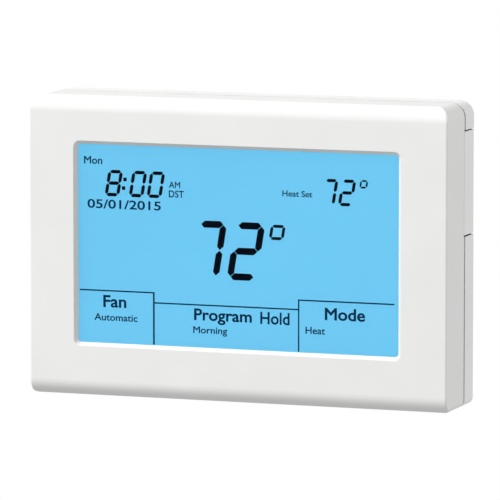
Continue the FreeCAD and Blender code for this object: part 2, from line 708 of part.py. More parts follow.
# Electronics

def main_board():
    """Circuit board with its screw holes and the slot for the touch panel's tail."""
    board = block(-BOARD_HALF, BOARD_HALF, BOARD_FRONT, BOARD_BACK, FRAME_BOTTOM, FRAME_TOP)
    left, right = tail_span()
    cuts = [block(left - 1, right + 1, BOARD_FRONT, BOARD_BACK,
                  PANEL_BOTTOM - 0.6, PANEL_BOTTOM + 0.4)]
    for x, z in board_screw_places():
        cuts.append(rod(x, z, SMALL_SCREW_RADIUS + SCREW_PASS, BOARD_FRONT, BOARD_BACK))
    for x, z in pin_places():
        half = PIN_SIDE / 2 + SCREW_GAP
        cuts.append(block(x - half, x + half, BOARD_FRONT, BOARD_BACK, z - half, z + half))
    return board.cut(cuts)


def board_screws():
    """Four screws through the board into the display frame."""
    return group([screw(x, z, BOARD_BACK, SMALL_SCREW_LENGTH + BOARD_THICKNESS - 0.5, SMALL_SCREW_RADIUS,
                        SMALL_SCREW_HEAD_RADIUS, SMALL_SCREW_HEAD) for x, z in board_screw_places()])


def touch_connector():
    """Socket for the touch panel's tail."""
    left, right = tail_span()
    body = block(left - 2.5, right + 2.5, BOARD_BACK, BOARD_BACK - 2.4,
                 PANEL_BOTTOM - 1.8, PANEL_BOTTOM + 1.6)
    mouth = block(left - 0.5, right + 0.5, BOARD_BACK, BOARD_BACK - 2.1,
                  PANEL_BOTTOM - TAIL_THICKNESS - 0.1, PANEL_BOTTOM + 0.1)
    return body.cut(mouth)


def microcontroller():
    """Square chip with leads on four sides."""
    x = (STEP_WALL + BAY_END) / 2 + 14.0
    z = DOOR_MIDDLE - 3.0
    half = CHIP_SIDE / 2
    chip = block(x - half, x + half, BOARD_BACK - 0.1, BOARD_BACK - CHIP_HEIGHT, z - half, z + half)
    pitch = (CHIP_SIDE - 3.0) / (LEADS_PER_SIDE - 1)
    leads = []
    for i in range(LEADS_PER_SIDE):
        along = -half + 1.5 + i * pitch
        reach = half + LEAD_LENGTH
        leads.append(block(x - reach, x + reach, BOARD_BACK, BOARD_BACK - 0.25,
                           z + along - 0.2, z + along + 0.2))
        leads.append(block(x + along - 0.2, x + along + 0.2, BOARD_BACK, BOARD_BACK - 0.25,
                           z - reach, z + reach))
    return chip.fuse(leads)


def crystal():
    """Metal can of the clock crystal, with its base flange."""
    x = (STEP_WALL + BAY_END) / 2 - 4.0
    z = DOOR_MIDDLE - 16.0
    radius = CRYSTAL_WIDTH / 2 - 0.01
    can = slab(x - CRYSTAL_LENGTH / 2, x + CRYSTAL_LENGTH / 2, z - CRYSTAL_WIDTH / 2, z + CRYSTAL_WIDTH / 2,
               radius, BOARD_BACK, BOARD_BACK - CRYSTAL_HEIGHT)
    edge = 0.5
    flange = slab(x - CRYSTAL_LENGTH / 2 - edge, x + CRYSTAL_LENGTH / 2 + edge,
                  z - CRYSTAL_WIDTH / 2 - edge, z + CRYSTAL_WIDTH / 2 + edge,
                  radius + edge, BOARD_BACK, BOARD_BACK - 0.5)
    return can.fuse(flange)


def sounder():
    """Round sounder that clicks when the display is touched."""
    x = STEP_WALL + 14.0
    z = DOOR_MIDDLE + 4.0
    body = rod(x, z, SOUNDER_RADIUS, BOARD_BACK, BOARD_BACK - SOUNDER_HEIGHT)
    body = body.makeFillet(0.5, edges_at(body, BOARD_BACK - SOUNDER_HEIGHT))
    hole = rod(x, z, 1.0, BOARD_BACK - SOUNDER_HEIGHT + 1.5, BOARD_BACK - SOUNDER_HEIGHT - 0.1)
    return body.cut(hole)


def relays():
    """Latching relays that switch the heating, cooling and fan circuits."""
    x = LEFT + LOW_BAY_WIDTH / 2 + 3.0
    cans = []
    for i in range(RELAY_COUNT):
        z = FRAME_BOTTOM + RELAY_START + i * RELAY_PITCH
        can = block(x - RELAY_LENGTH / 2, x + RELAY_LENGTH / 2, BOARD_BACK, BOARD_BACK - RELAY_HEIGHT,
                    z - RELAY_WIDTH / 2, z + RELAY_WIDTH / 2)
        cans.append(can.makeFillet(0.5, edges_at(can, BOARD_BACK - RELAY_HEIGHT)))
    return group(cans)


def capacitors():
    """Electrolytic capacitors of the power supply, each with its rolled rim."""
    x = LEFT + LOW_BAY_WIDTH / 2 + 3.0
    cans = []
    for side in SIDES:
        for row in (0, 1):
            z = FRAME_TOP - CAPACITOR_START - row * (2 * CAPACITOR_RADIUS + 1.0)
            across = x + side * (CAPACITOR_RADIUS + 0.8)
            can = rod(across, z, CAPACITOR_RADIUS, BOARD_BACK, BOARD_BACK - CAPACITOR_HEIGHT)
            can = can.makeFillet(0.6, edges_at(can, BOARD_BACK - CAPACITOR_HEIGHT))
            neck = Part.makeTorus(CAPACITOR_RADIUS + 0.15, 0.5, Vector(across, -BOARD_BACK + 1.6, z),
                                  Vector(0, 1, 0))
            cans.append(can.cut(neck))
    return group(cans)


def temperature_sensor():
    """Bead on two leads, held in the air above the slots in the underside."""
    distance = BOARD_BACK - 1.0
    bead = Part.makeCylinder(SENSOR_RADIUS, SENSOR_LENGTH,
                             Vector(SENSOR_X, -distance, SENSOR_Z - SENSOR_LENGTH / 2), Vector(0, 0, 1))
    bead = bead.makeFillet(SENSOR_RADIUS * 0.8, [edge for edge in bead.Edges if edge.isClosed()])
    pieces = []
    for side in SIDES:
        x = SENSOR_X + side * 0.7
        top = FRAME_BOTTOM + 2.0
        pieces.append(block(x - 0.2, x + 0.2, distance + 0.2, distance - 0.2, SENSOR_Z, top))
        pieces.append(block(x - 0.2, x + 0.2, BOARD_BACK, distance - 0.2, top, top + 0.4))
    return bead.fuse(pieces)


def pin_places():
    """Axes of the pins that plug into the wall plate's terminals."""
    return [(side * (BLOCK_INSET + PIN_INSET), z) for side in SIDES for z in POLE_HEIGHTS]


def plug_pins():
    """Square pins from the board through the deck into the terminals."""
    half = PIN_SIDE / 2
    tip = PLATE_THICKNESS + STRIP_THICKNESS + 2.0
    pins = []
    for x, z in pin_places():
        pin = block(x - half, x + half, BOARD_FRONT, tip, z - half, z + half)
        pins.append(pin.makeChamfer(half * 0.5, edges_at(pin, tip)))
    return group(pins)


def pin_headers():
    """Plastic bars that hold the two rows of pins on the board."""
    bars = []
    hole = PIN_SIDE / 2 + SCREW_GAP
    for side in SIDES:
        x = side * (BLOCK_INSET + PIN_INSET)
        bar = block(x - 1.4, x + 1.4, BOARD_BACK, BOARD_BACK - 2.6,
                    POLE_HEIGHTS[0] - 2.5, POLE_HEIGHTS[-1] + 2.5)
        holes = [block(x - hole, x + hole, BOARD_BACK, BOARD_BACK - 2.6, z - hole, z + hole)
                 for z in POLE_HEIGHTS]
        bars.append(bar.cut(holes))
    return group(bars)


# Battery tray

def battery_tray():
    """Door, two open channels for the cells, and tongues that run in the bay."""
    low = DOOR_MIDDLE - CARRIAGE_HALF
    high = DOOR_MIDDLE + CARRIAGE_HALF
    door = door_panel(DOOR_INNER, RIGHT, DOOR_MIDDLE - DOOR_HALF, DOOR_MIDDLE + DOOR_HALF)
    carriage = block(CELL_INNER_END, DOOR_INNER, TRAY_FRONT, WALL_GAP, low, high)
    tongues = block(CELL_INNER_END - TONGUE_TAIL, DOOR_INNER, CELL_AXIS + TONGUE_THICKNESS / 2,
                    CELL_AXIS - TONGUE_THICKNESS / 2, DOOR_MIDDLE - TONGUE_HALF, DOOR_MIDDLE + TONGUE_HALF)
    between = block(CELL_INNER_END - TONGUE_TAIL - 1, CELL_INNER_END, TRAY_FRONT, 0, low + 0.6, high - 0.6)
    tray = door.fuse([carriage, tongues]).cut(between)
    cuts = []
    slit = CELL_RADIUS * 0.35
    for z in CELL_HEIGHTS:
        run = DOOR_INNER - CELL_INNER_END
        cuts.append(Part.makeCylinder(CHANNEL_RADIUS, run, Vector(CELL_INNER_END, -CELL_AXIS, z), Vector(1, 0, 0)))
        cuts.append(block(CELL_INNER_END, DOOR_INNER, TRAY_FRONT + 1, CELL_AXIS,
                          z - CHANNEL_RADIUS, z + CHANNEL_RADIUS))
        cuts.append(block(CELL_INNER_END + 5, CELL_OUTER_END - 5, CELL_AXIS, 0, z - slit, z + slit))
    low_link = CELL_HEIGHTS[1] - CELL_RADIUS * 0.75
    high_link = CELL_HEIGHTS[0] + CELL_RADIUS * 0.75
    cuts.append(block(DOOR_INNER - SHEET_THICKNESS * 2, DOOR_INNER, TRAY_FRONT, CELL_AXIS - CELL_RADIUS * 0.7,
                      low_link, high_link))
    return tray.cut(cuts).removeSplitter()


def door_panel(x0, x1, z0, z1):
    """Door panel, with its four outer edges eased."""
    door = block(x0, x1, TRAY_FRONT, WALL_GAP, z0, z1)
    outer = [edge for edge in door.Edges
             if abs(edge.BoundBox.XMin - x1) < 0.001 and abs(edge.BoundBox.XMax - x1) < 0.001]
    return door.makeFillet(0.3, outer)


def battery_cell(z, nub_at_door):
    """One cylindrical cell with its raised positive end."""
    length = CELL_LENGTH - CELL_NUB_LENGTH
    start = CELL_INNER_END if nub_at_door else CELL_INNER_END + CELL_NUB_LENGTH
    can = Part.makeCylinder(CELL_RADIUS, length, Vector(start, -CELL_AXIS, z), Vector(1, 0, 0))
    can = can.makeFillet(0.5, [edge for edge in can.Edges if edge.isClosed()])
    nub_start = CELL_INNER_END + length if nub_at_door else CELL_INNER_END
    nub = Part.makeCylinder(CELL_NUB_RADIUS, CELL_NUB_LENGTH, Vector(nub_start, -CELL_AXIS, z), Vector(1, 0, 0))
    return can.fuse(nub)


def upper_cell():
    """Cell whose positive end faces the door."""
    return battery_cell(CELL_HEIGHTS[0], True)


def lower_cell():
    """Cell whose positive end faces into the casing."""
    return battery_cell(CELL_HEIGHTS[1], False)


def tray_link():
    """Sheet-metal bridge behind the door, with a raised pad for the upper cell."""
    back = CELL_AXIS - CELL_RADIUS * 0.6
    plate = block(DOOR_INNER - SHEET_THICKNESS, DOOR_INNER, TRAY_FRONT - 0.4, back,
                  CELL_HEIGHTS[1] - CELL_RADIUS * 0.7, CELL_HEIGHTS[0] + CELL_RADIUS * 0.7)
    pad = Part.makeCylinder(2.2, LINK_SPACE - SHEET_THICKNESS,
                            Vector(CELL_OUTER_END, -CELL_AXIS, CELL_HEIGHTS[0]), Vector(1, 0, 0))
    hollow = Part.makeCylinder(1.7, LINK_SPACE,
                               Vector(CELL_OUTER_END + SHEET_THICKNESS, -CELL_AXIS, CELL_HEIGHTS[0]),
                               Vector(1, 0, 0))
    return plate.fuse(pad).cut(hollow)


def tray_spring():
    """Spring behind the door that bears on the lower cell's flat end."""
    room = LINK_SPACE - SHEET_THICKNESS - SPRING_WIRE
    return coil(CELL_OUTER_END + SPRING_WIRE / 2, CELL_HEIGHTS[1], CELL_AXIS, room, SPRING_RADIUS, 2.5)


def contact_base(z):
    """Sheet fixed to the bay's end wall, with a leg that reaches the board."""
    base = block(BAY_END, BAY_END + SHEET_THICKNESS, CELL_AXIS + 3.5, CELL_AXIS - 3.5, z - 3.5, z + 3.5)
    leg = block(BAY_END, BAY_END + SHEET_THICKNESS, BOARD_BACK, CELL_AXIS, z - 1.5, z + 1.5)
    return base.fuse(leg)


def leaf_contact():
    """Positive contact: a bent leaf that bears on the lower cell's raised end."""
    z = CELL_HEIGHTS[1]
    root = BAY_END + SHEET_THICKNESS / 2
    tip = CELL_INNER_END - 0.05
    thickness = SHEET_THICKNESS
    rise = block(root, tip, CELL_AXIS - 3.5 + thickness, CELL_AXIS - 3.5, z - 2.0, z + 2.0)
    face = block(tip - thickness, tip, CELL_AXIS + 2.5, CELL_AXIS - 3.5, z - 2.0, z + 2.0)
    return contact_base(z).fuse([rise, face])


def coil_contact_base():
    """Base of the negative contact."""
    return contact_base(CELL_HEIGHTS[0])


def bay_spring():
    """Spring that bears on the upper cell's flat end."""
    room = CONTACT_SPACE - SHEET_THICKNESS - SPRING_WIRE
    start = BAY_END + SHEET_THICKNESS + SPRING_WIRE / 2
    return coil(start, CELL_HEIGHTS[0], CELL_AXIS, room, SPRING_RADIUS, 4)


# Wall plate

def plate_outline():
    """Plate blank, cut away where the battery bay passes it."""
    inset = HOUSING_WALL + PLATE_CLEARANCE
    blank = casing_slab(inset, PLATE_THICKNESS, 0)
    notch = block(BAY_END - DECK_THICKNESS - PLATE_CLEARANCE, RIGHT, PLATE_THICKNESS, 0,
                  DOOR_MIDDLE - BAY_HALF - DECK_THICKNESS - PLATE_CLEARANCE, TOP)
    return blank.cut(notch)


def snap_tongues():
    """Sprung tongues that hold the display unit by its top and bottom walls."""
    edge = HEIGHT / 2 - HOUSING_WALL - PLATE_CLEARANCE
    tip = HOUSING_RIM - SHELF_THICKNESS - 0.8
    left = STEP_WALL + 14.0
    places = [(left, 1), (BAY_END - 14.0, 1), (left, -1), (RIGHT - 36.0, -1)]
    tongues = []
    for x, side in places:
        outer = side * edge
        inner = side * (edge - TONGUE_WALL)
        nib = side * (edge + TONGUE_NIB)
        half = TONGUE_WIDTH / 2
        tongues.append(block(x - half, x + half, tip, 0.5, min(outer, inner), max(outer, inner)))
        tongues.append(block(x - half + 1, x + half - 1, tip, tip - 1.2, min(nib, inner), max(nib, inner)))
    return tongues


def wall_plate():
    """Plate that is screwed to the wall or to a wall box."""
    plate = plate_outline().fuse(snap_tongues())
    cuts = []
    for end in SIDES:
        cuts.append(rod(0, end * BOX_SCREW_SPACING / 2, MOUNT_HOLE_RADIUS, PLATE_THICKNESS, 0))
    for side in SIDES:
        x = side * SIDE_SCREW_SPACING / 2
        half = SIDE_SLOT_LENGTH / 2
        for end in SIDES:
            cuts.append(rod(x + end * half, -SIDE_SCREW_DROP, MOUNT_HOLE_RADIUS, PLATE_THICKNESS, 0))
        cuts.append(block(x - half, x + half, PLATE_THICKNESS, 0,
                          -SIDE_SCREW_DROP - MOUNT_HOLE_RADIUS, -SIDE_SCREW_DROP + MOUNT_HOLE_RADIUS))
    cuts.append(slab(-WIRE_OPENING_WIDTH / 2, WIRE_OPENING_WIDTH / 2,
                     -WIRE_OPENING_DROP - WIRE_OPENING_HEIGHT / 2, -WIRE_OPENING_DROP + WIRE_OPENING_HEIGHT / 2,
                     3.0, PLATE_THICKNESS, 0))
    return plate.cut(cuts).removeSplitter()


def terminal_block(side):
    """Moulded block with one pocket, screw well, wire port and pin slot for each pole."""
    near = BLOCK_INSET
    far = BLOCK_INSET + BLOCK_WIDTH
    body = block(near, far, BLOCK_FRONT, PLATE_THICKNESS, -BLOCK_DROP - BLOCK_HALF_HEIGHT,
                 -BLOCK_DROP + BLOCK_HALF_HEIGHT)
    body = body.makeFillet(0.4, edges_at(body, BLOCK_FRONT))
    half = POCKET_WIDTH / 2
    pin_half = PIN_SIDE / 2 + PIN_CLEARANCE
    cuts = []
    for z in POLE_HEIGHTS:
        cuts.append(block(near + BLOCK_WALL, far - BLOCK_WALL, BLOCK_FRONT - BLOCK_WALL, PLATE_THICKNESS,
                          z - half, z + half))
        cuts.append(rod(near + TERMINAL_SCREW_INSET, z, TERMINAL_SCREW_HEAD_RADIUS + SCREW_PASS,
                        BLOCK_FRONT, BLOCK_FRONT - BLOCK_WALL))
        port = PLATE_THICKNESS + STRIP_THICKNESS
        cuts.append(block(near - 1, near + BLOCK_WALL, port + WIRE_PORT, port,
                          z - WIRE_PORT / 2, z + WIRE_PORT / 2))
        pin_x = near + PIN_INSET
        cuts.append(block(pin_x - pin_half, pin_x + pin_half, BLOCK_FRONT, BLOCK_FRONT - BLOCK_WALL,
                          z - pin_half, z + pin_half))
    body = body.cut(cuts)
    return mirrored(body, side)


def mirrored(shape, side):
    """The shape itself for side 1, or its mirror image across the middle for side -1."""
    if side == 1:
        return shape
    return shape.mirror(Vector(0, 0, 0), Vector(1, 0, 0))


def left_terminal_block():
    """Terminal block to the left of the wire opening."""
    return terminal_block(-1)


def right_terminal_block():
    """Terminal block to the right of the wire opening."""
    return terminal_block(1)


def terminal_contacts():
    """Metal strips, each with a sprung fork for one pin."""
    strips = []
    fork_front = BLOCK_FRONT - BLOCK_WALL - 0.6
    gap = PIN_SIDE / 2 + PIN_CLEARANCE
    half = POCKET_WIDTH / 2 - 0.4
    screw_x = BLOCK_INSET + TERMINAL_SCREW_INSET
    pin_x = BLOCK_INSET + PIN_INSET
    base_front = PLATE_THICKNESS + STRIP_THICKNESS
    for z in POLE_HEIGHTS:
        strip = block(BLOCK_INSET + BLOCK_WALL + 0.2, BLOCK_INSET + BLOCK_WIDTH - BLOCK_WALL - 0.2,
                      base_front, PLATE_THICKNESS, z - half, z + half)
        strip = strip.fuse([
            block(pin_x - gap - FORK_LEAF, pin_x - gap, fork_front, PLATE_THICKNESS, z - half, z + half),
            block(pin_x + gap, pin_x + gap + FORK_LEAF, fork_front, PLATE_THICKNESS, z - half, z + half),
        ])
        strip = strip.cut(rod(screw_x, z, TERMINAL_SCREW_RADIUS + SCREW_GAP, base_front, PLATE_THICKNESS))
        strips += [mirrored(strip, side) for side in SIDES]
    return group(strips)


def washer_seat():
    """Distance from the wall to the front of the clamping washers."""
    return PLATE_THICKNESS + STRIP_THICKNESS + WIRE_PORT + WASHER_THICKNESS


def terminal_washers():
    """Square washers that press on the wires."""
    half = POCKET_WIDTH / 2 - 0.4
    seat = washer_seat()
    washers = []
    for z in POLE_HEIGHTS:
        x = BLOCK_INSET + TERMINAL_SCREW_INSET
        washer = block(x - half, x + half, seat, seat - WASHER_THICKNESS, z - half, z + half)
        washer = washer.cut(rod(x, z, TERMINAL_SCREW_RADIUS + SCREW_PASS, seat, seat - WASHER_THICKNESS))
        washers += [mirrored(washer, side) for side in SIDES]
    return group(washers)


def terminal_screws():
    """Clamping screws, one for each wire."""
    seat = washer_seat()
    length = seat - PLATE_THICKNESS - 0.1
    screws = []
    for side in SIDES:
        for z in POLE_HEIGHTS:
            screws.append(screw(side * (BLOCK_INSET + TERMINAL_SCREW_INSET), z, seat, length,
                                TERMINAL_SCREW_RADIUS, TERMINAL_SCREW_HEAD_RADIUS, TERMINAL_SCREW_HEAD, -1))
    return group(screws)


NODES = [
    front_cover, rear_housing, case_screws,
    window_gasket, touch_panel, front_polariser, lcd_front_glass, lcd_rear_glass, rear_polariser,
    diffuser_film, light_guide, reflector_film, backlight_boards, backlight_leds, contact_strip,
    display_frame, display_screws, touch_tail,
    main_board, board_screws, touch_connector, microcontroller, crystal, sounder, relays, capacitors,
    temperature_sensor, plug_pins, pin_headers, leaf_contact, coil_contact_base, bay_spring,
    battery_tray, upper_cell, lower_cell, tray_link, tray_spring,
    wall_plate, left_terminal_block, right_terminal_block, terminal_contacts, terminal_washers,
    terminal_screws,
]

os.makedirs("parts", exist_ok=True)
for make in NODES:
    shape = make()
    shape.exportStep("parts/" + make.__name__ + ".step")
    print(make.__name__, len(shape.Solids), round(shape.Volume, 1), shape.isValid())
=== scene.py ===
"""Looks of the wall thermostat: casing, lit touch display, cells, springs and a plain studio.

Lengths are in metres; a value in millimetres is multiplied by MM. The wall is the plane y = 0,
the display faces -y, +x is to the right of somebody who faces the display, and +z is up.
"""

import logging
import math
from dataclasses import dataclass, field
from enum import Enum
from typing import Any, Iterable

import bmesh
import bpy
from bmesh.types import BMEdge, BMesh, BMVert
from bpy.types import ID, Material, Mesh, Node, NodeSocket, NodeTree, Object
from mathutils import Matrix, Vector


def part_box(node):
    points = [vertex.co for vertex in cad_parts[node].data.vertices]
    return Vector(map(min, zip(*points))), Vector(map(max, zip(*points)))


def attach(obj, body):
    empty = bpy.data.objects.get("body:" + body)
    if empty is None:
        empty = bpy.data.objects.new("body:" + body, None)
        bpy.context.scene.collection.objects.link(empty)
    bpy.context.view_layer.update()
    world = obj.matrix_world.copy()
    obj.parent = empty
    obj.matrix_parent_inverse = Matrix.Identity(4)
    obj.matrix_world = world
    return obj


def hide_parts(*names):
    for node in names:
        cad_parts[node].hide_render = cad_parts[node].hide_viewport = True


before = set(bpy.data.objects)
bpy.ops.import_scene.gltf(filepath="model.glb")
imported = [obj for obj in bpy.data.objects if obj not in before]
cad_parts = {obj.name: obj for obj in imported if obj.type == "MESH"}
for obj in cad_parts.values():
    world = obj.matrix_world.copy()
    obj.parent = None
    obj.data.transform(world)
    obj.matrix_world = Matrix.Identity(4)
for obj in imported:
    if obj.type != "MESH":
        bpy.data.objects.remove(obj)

MM = 0.001
MERGE_DISTANCE = 0.0005 * MM
SHARPEST_MITRE = 0.35
BAND_WIDTH = 13.0 * MM
QUARTER_TURN = math.radians(90)
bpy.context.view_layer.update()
Colour = tuple[float, float, float]
Point = tuple[float, float, float]
Inputs = dict[Any, Any]

log = logging.getLogger("thermostat")


class Body(Enum):
    """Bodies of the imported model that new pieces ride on."""

    DISPLAY_UNIT = "display_unit"
    BATTERY_DRAWER = "battery_drawer"


def screen_colour(red: int, green: int, blue: int) -> Colour:
    """Turn a screen colour into linear light.

    Args:
        red: Red from 0 to 255.
        green: Green from 0 to 255.
        blue: Blue from 0 to 255.

    Returns:
        The three linear values from 0 to 1.
    """
    shares = (value / 255 for value in (red, green, blue))
    return tuple(s / 12.92 if s <= 0.04045 else ((s + 0.055) / 1.055) ** 2.4 for s in shares)


def dimmed(colour: Colour, share: float) -> Colour:
    """Colour with a share of its light."""
    return tuple(c * share for c in colour)


def paled(colour: Colour, share: float) -> Colour:
    """Colour moved a share of the way to white."""
    return tuple(c + (1 - c) * share for c in colour)


# Shader building


class ShaderTree:
    """Places and links shader nodes in one node tree."""

    def __init__(self, tree: NodeTree) -> None:
        """Keep the tree that the nodes go in."""
        self.tree = tree

    def feed(self, node: Node, inputs: Inputs) -> None:
        """Link or set some inputs of a node.

        Args:
            node: The node.
            inputs: Values or output sockets, by the input's name or number.
        """
        for name, value in inputs.items():
            if isinstance(value, NodeSocket):
                self.tree.links.new(value, node.inputs[name])
            else:
                node.inputs[name].default_value = value

    def add(self, kind: str, inputs: Inputs | None = None, **settings: Any) -> Node:
        """Add one node.

        Args:
            kind: The node's class name.
            inputs: Values or output sockets for its inputs, by name or number.
            **settings: Values for the node's own properties.

        Returns:
            The new node.
        """
        node = self.tree.nodes.new(kind)
        for name, value in settings.items():
            setattr(node, name, value)
        self.feed(node, inputs or {})
        return node

    def effect(self, group: NodeTree, inputs: Inputs) -> Node:
        """Place a shared node group with its values."""
        return self.add("ShaderNodeGroup", inputs, node_tree=group)

    def place(self) -> NodeSocket:
        """Object coordinates."""
        return self.add("ShaderNodeTexCoord").outputs["Object"]

    def across(self) -> NodeSocket:
        """Distance to the right, from the Object coordinates."""
        return self.add("ShaderNodeSeparateXYZ", {0: self.place()}).outputs["X"]

    def maths(self, operation: str, *values: Any, clamp: bool = False) -> NodeSocket:
        """NodeSocket of a Math node on one to three values or sockets."""
        inputs = dict(enumerate(values))
        return self.add("ShaderNodeMath", inputs, operation=operation, use_clamp=clamp).outputs[0]

    def product(self, first: Any, second: Any) -> NodeSocket:
        """Product of two values or sockets."""
        return self.maths("MULTIPLY", first, second)

    def from_line(self, along: Any, pitch: float) -> NodeSocket:
        """Distance to the nearest of some lines that lie one pitch apart."""
        return self.maths("PINGPONG", along, pitch / 2)

    def noise(self, place: Any, scale: Any, detail: float, roughness: float = 0.5) -> NodeSocket:
        """Value of a cloudy pattern, with its patches per metre and its fineness."""
        inputs = {"Vector": place, "Scale": scale, "Detail": detail, "Roughness": roughness}
        return self.add("ShaderNodeTexNoise", inputs).outputs[0]

    def blend(self, share: Any, first: Any, second: Any) -> NodeSocket:
        """Colour between two colours.

        Args:
            share: Share of the second colour, a number or a socket.
            first: Colour or socket shown where the share is 0.
            second: Colour or socket shown where the share is 1.

        Returns:
            The mixed colour's socket.
        """
        values = [(*c, 1.0) if isinstance(c, tuple) else c for c in (first, second)]
        node = self.add("ShaderNodeMix", {0: share, 6: values[0], 7: values[1]}, data_type="RGBA")
        return node.outputs[2]

    def mix(self, share: Any, first: NodeSocket, second: NodeSocket) -> NodeSocket:
        """Shader between two shaders, by the share of the second."""
        return self.add("ShaderNodeMixShader", {0: share, 1: first, 2: second}).outputs[0]

    def spread(self, value: Any, low: float, high: float, start: float = 0.0, end: float = 1.0) -> NodeSocket:
        """Value moved from the span start-end to the span low-high, and held there."""
        inputs = {0: value, 1: start, 2: end, 3: low, 4: high}
        return self.add("ShaderNodeMapRange", inputs).outputs[0]

    def bump(self, height: NodeSocket, distance: float, normal: NodeSocket | None = None) -> NodeSocket:
        """Normal of a surface with relief.

        Args:
            height: Height of the relief, from 0 to 1.
            distance: Depth of the relief.
            normal: Normal that the relief is added to, if not the surface's own.

        Returns:
            The normal's socket.
        """
        inputs = {"Height": height, "Distance": distance}
        if normal is not None:
            inputs["Normal"] = normal
        return self.add("ShaderNodeBump", inputs).outputs[0]


class Effects:
    """Shader node groups that several finishes share, each built once."""

    def __init__(self) -> None:
        """Build every group."""
        self.grain = self._mould_grain()
        self.wear = self._edge_wear()
        self.dust = self._settled_dust()
        self.streaks = self._drawn_streaks()
        self.smudges = self._finger_smudges()
        self.crevice = self._crevice_shade()

    @staticmethod
    def _start(name: str, inputs: dict[str, float | Point],
               outputs: Iterable[str]) -> tuple[ShaderTree, Node, Node]:
        """Make an empty group with named sockets.

        Args:
            name: The group's name.
            inputs: Default value of each input, by name.
            outputs: Names of the outputs.

        Returns:
            The group's tree, its input node and its output node.
        """
        tree = bpy.data.node_groups.new(name, "ShaderNodeTree")
        for label, value in inputs.items():
            kind = "NodeSocketVector" if isinstance(value, tuple) else "NodeSocketFloat"
            tree.interface.new_socket(label, in_out="INPUT", socket_type=kind).default_value = value
        for label in outputs:
            kind = "NodeSocketVector" if label == "Normal" else "NodeSocketFloat"
            tree.interface.new_socket(label, in_out="OUTPUT", socket_type=kind)
        shader = ShaderTree(tree)
        return shader, shader.add("NodeGroupInput"), shader.add("NodeGroupOutput")

    def _mould_grain(self) -> NodeTree:
        """Fine spark-eroded mould texture over slow changes of tone.

        Returns:
            The group.
        """
        shader, source, result = self._start(
            "mould_grain", {"Grain per metre": 4000.0, "Patches per metre": 40.0}, ("Height", "Tone"))
        place = shader.place()
        fine = shader.noise(place, source.outputs[0], 3.0, 0.6)
        pits = shader.add("ShaderNodeTexVoronoi", {"Vector": place, "Scale": source.outputs[0]},
                          feature="SMOOTH_F1")
        patches = shader.noise(place, source.outputs[1], 4.0, 0.55)
        shader.feed(result, {"Height": shader.maths("MULTIPLY_ADD", pits.outputs[0], 0.5, fine),
                             "Tone": shader.spread(patches, 0.0, 1.0, 0.3, 0.7)})
        return shader.tree

    def _edge_wear(self) -> NodeTree:
        """Softened edges, and a mask of where hands polish them.

        Returns:
            The group.
        """
        shader, source, result = self._start("edge_wear", {"Radius": 0.0002, "Amount": 0.5},
                                             ("Mask", "Normal"))
        soft = shader.add("ShaderNodeBevel", {"Radius": source.outputs["Radius"]}, samples=6)
        flat = shader.add("ShaderNodeNewGeometry").outputs["Normal"]
        along = shader.add("ShaderNodeVectorMath", {0: soft.outputs[0], 1: flat}, operation="DOT_PRODUCT")
        edge = shader.spread(along.outputs["Value"], 1.0, 0.0, 0.8, 0.995)
        patchy = shader.spread(shader.noise(shader.place(), 900.0, 5.0), 0.0, 1.0, 0.42, 0.6)
        mask = shader.product(shader.product(edge, patchy), source.outputs["Amount"])
        shader.feed(result, {"Mask": mask, "Normal": soft.outputs[0]})
        return shader.tree

    def _settled_dust(self) -> NodeTree:
        """Thin dust and painted shade on faces that look upwards.

        Returns:
            The group.
        """
        shader, source, result = self._start("dust_and_painted_top_shade", {"Amount": 0.3}, ("Mask",))
        normal = shader.add("ShaderNodeNewGeometry").outputs["Normal"]
        up = shader.add("ShaderNodeSeparateXYZ", {0: normal}).outputs["Z"]
        specks = shader.noise(shader.place(), 1500.0, 6.0, 0.7)
        cover = shader.product(shader.spread(up, 0.0, 1.0, 0.5, 1.0),
                               shader.spread(specks, 0.0, 1.0, 0.45, 0.75))
        shader.feed(result, {"Mask": shader.product(cover, source.outputs["Amount"])})
        return shader.tree

    def _drawn_streaks(self) -> NodeTree:
        """Fine lines that drawing, rolling or turning leaves on metal.

        Returns:
            The group.
        """
        shader, source, result = self._start("drawn_streaks", {"Stretch": (1.0, 1.0, 1.0)},
                                             ("Height", "Tone"))
        place = shader.place()
        drawn = shader.add("ShaderNodeVectorMath", {0: place, 1: source.outputs[0]}, operation="MULTIPLY")
        stains = shader.noise(place, 250.0, 5.0)
        shader.feed(result, {"Height": shader.noise(drawn.outputs[0], 6000.0, 2.0),
                             "Tone": shader.spread(stains, 0.0, 1.0, 0.3, 0.7)})
        return shader.tree

    def _crevice_shade(self) -> NodeTree:
        """Painted shade deep inside narrow gaps, where little light reaches.

        Returns:
            The group.
        """
        shader, source, result = self._start("painted_crevice_shade", {"Reach": 1.6 * MM, "Amount": 0.9}, ("Mask",))
        hidden = shader.add("ShaderNodeAmbientOcclusion", {"Distance": source.outputs["Reach"]}, samples=12)
        depth = shader.spread(hidden.outputs["AO"], 1.0, 0.0, 0.52, 0.66)
        shader.feed(result, {"Mask": shader.product(depth, source.outputs["Amount"])})
        return shader.tree

    def _finger_smudges(self) -> NodeTree:
        """Dull touches left by fingertips.

        Returns:
            The group.
        """
        shader, source, result = self._start("finger_smudges", {"Amount": 0.3}, ("Mask",))
        place = shader.place()
        warped = shader.add("ShaderNodeTexNoise", {"Vector": place, "Scale": 60.0, "Detail": 3.0})
        shifted = shader.add("ShaderNodeVectorMath", {0: warped.outputs["Color"], 1: (0.02, 0.02, 0.02),
                                                      2: place}, operation="MULTIPLY_ADD")
        touches = shader.add("ShaderNodeTexVoronoi", {"Vector": shifted.outputs[0], "Scale": 45.0})
        round_spots = shader.spread(touches.outputs["Distance"], 1.0, 0.0, 0.1, 0.45)
        shader.feed(result, {"Mask": shader.product(round_spots, source.outputs["Amount"])})
        return shader.tree


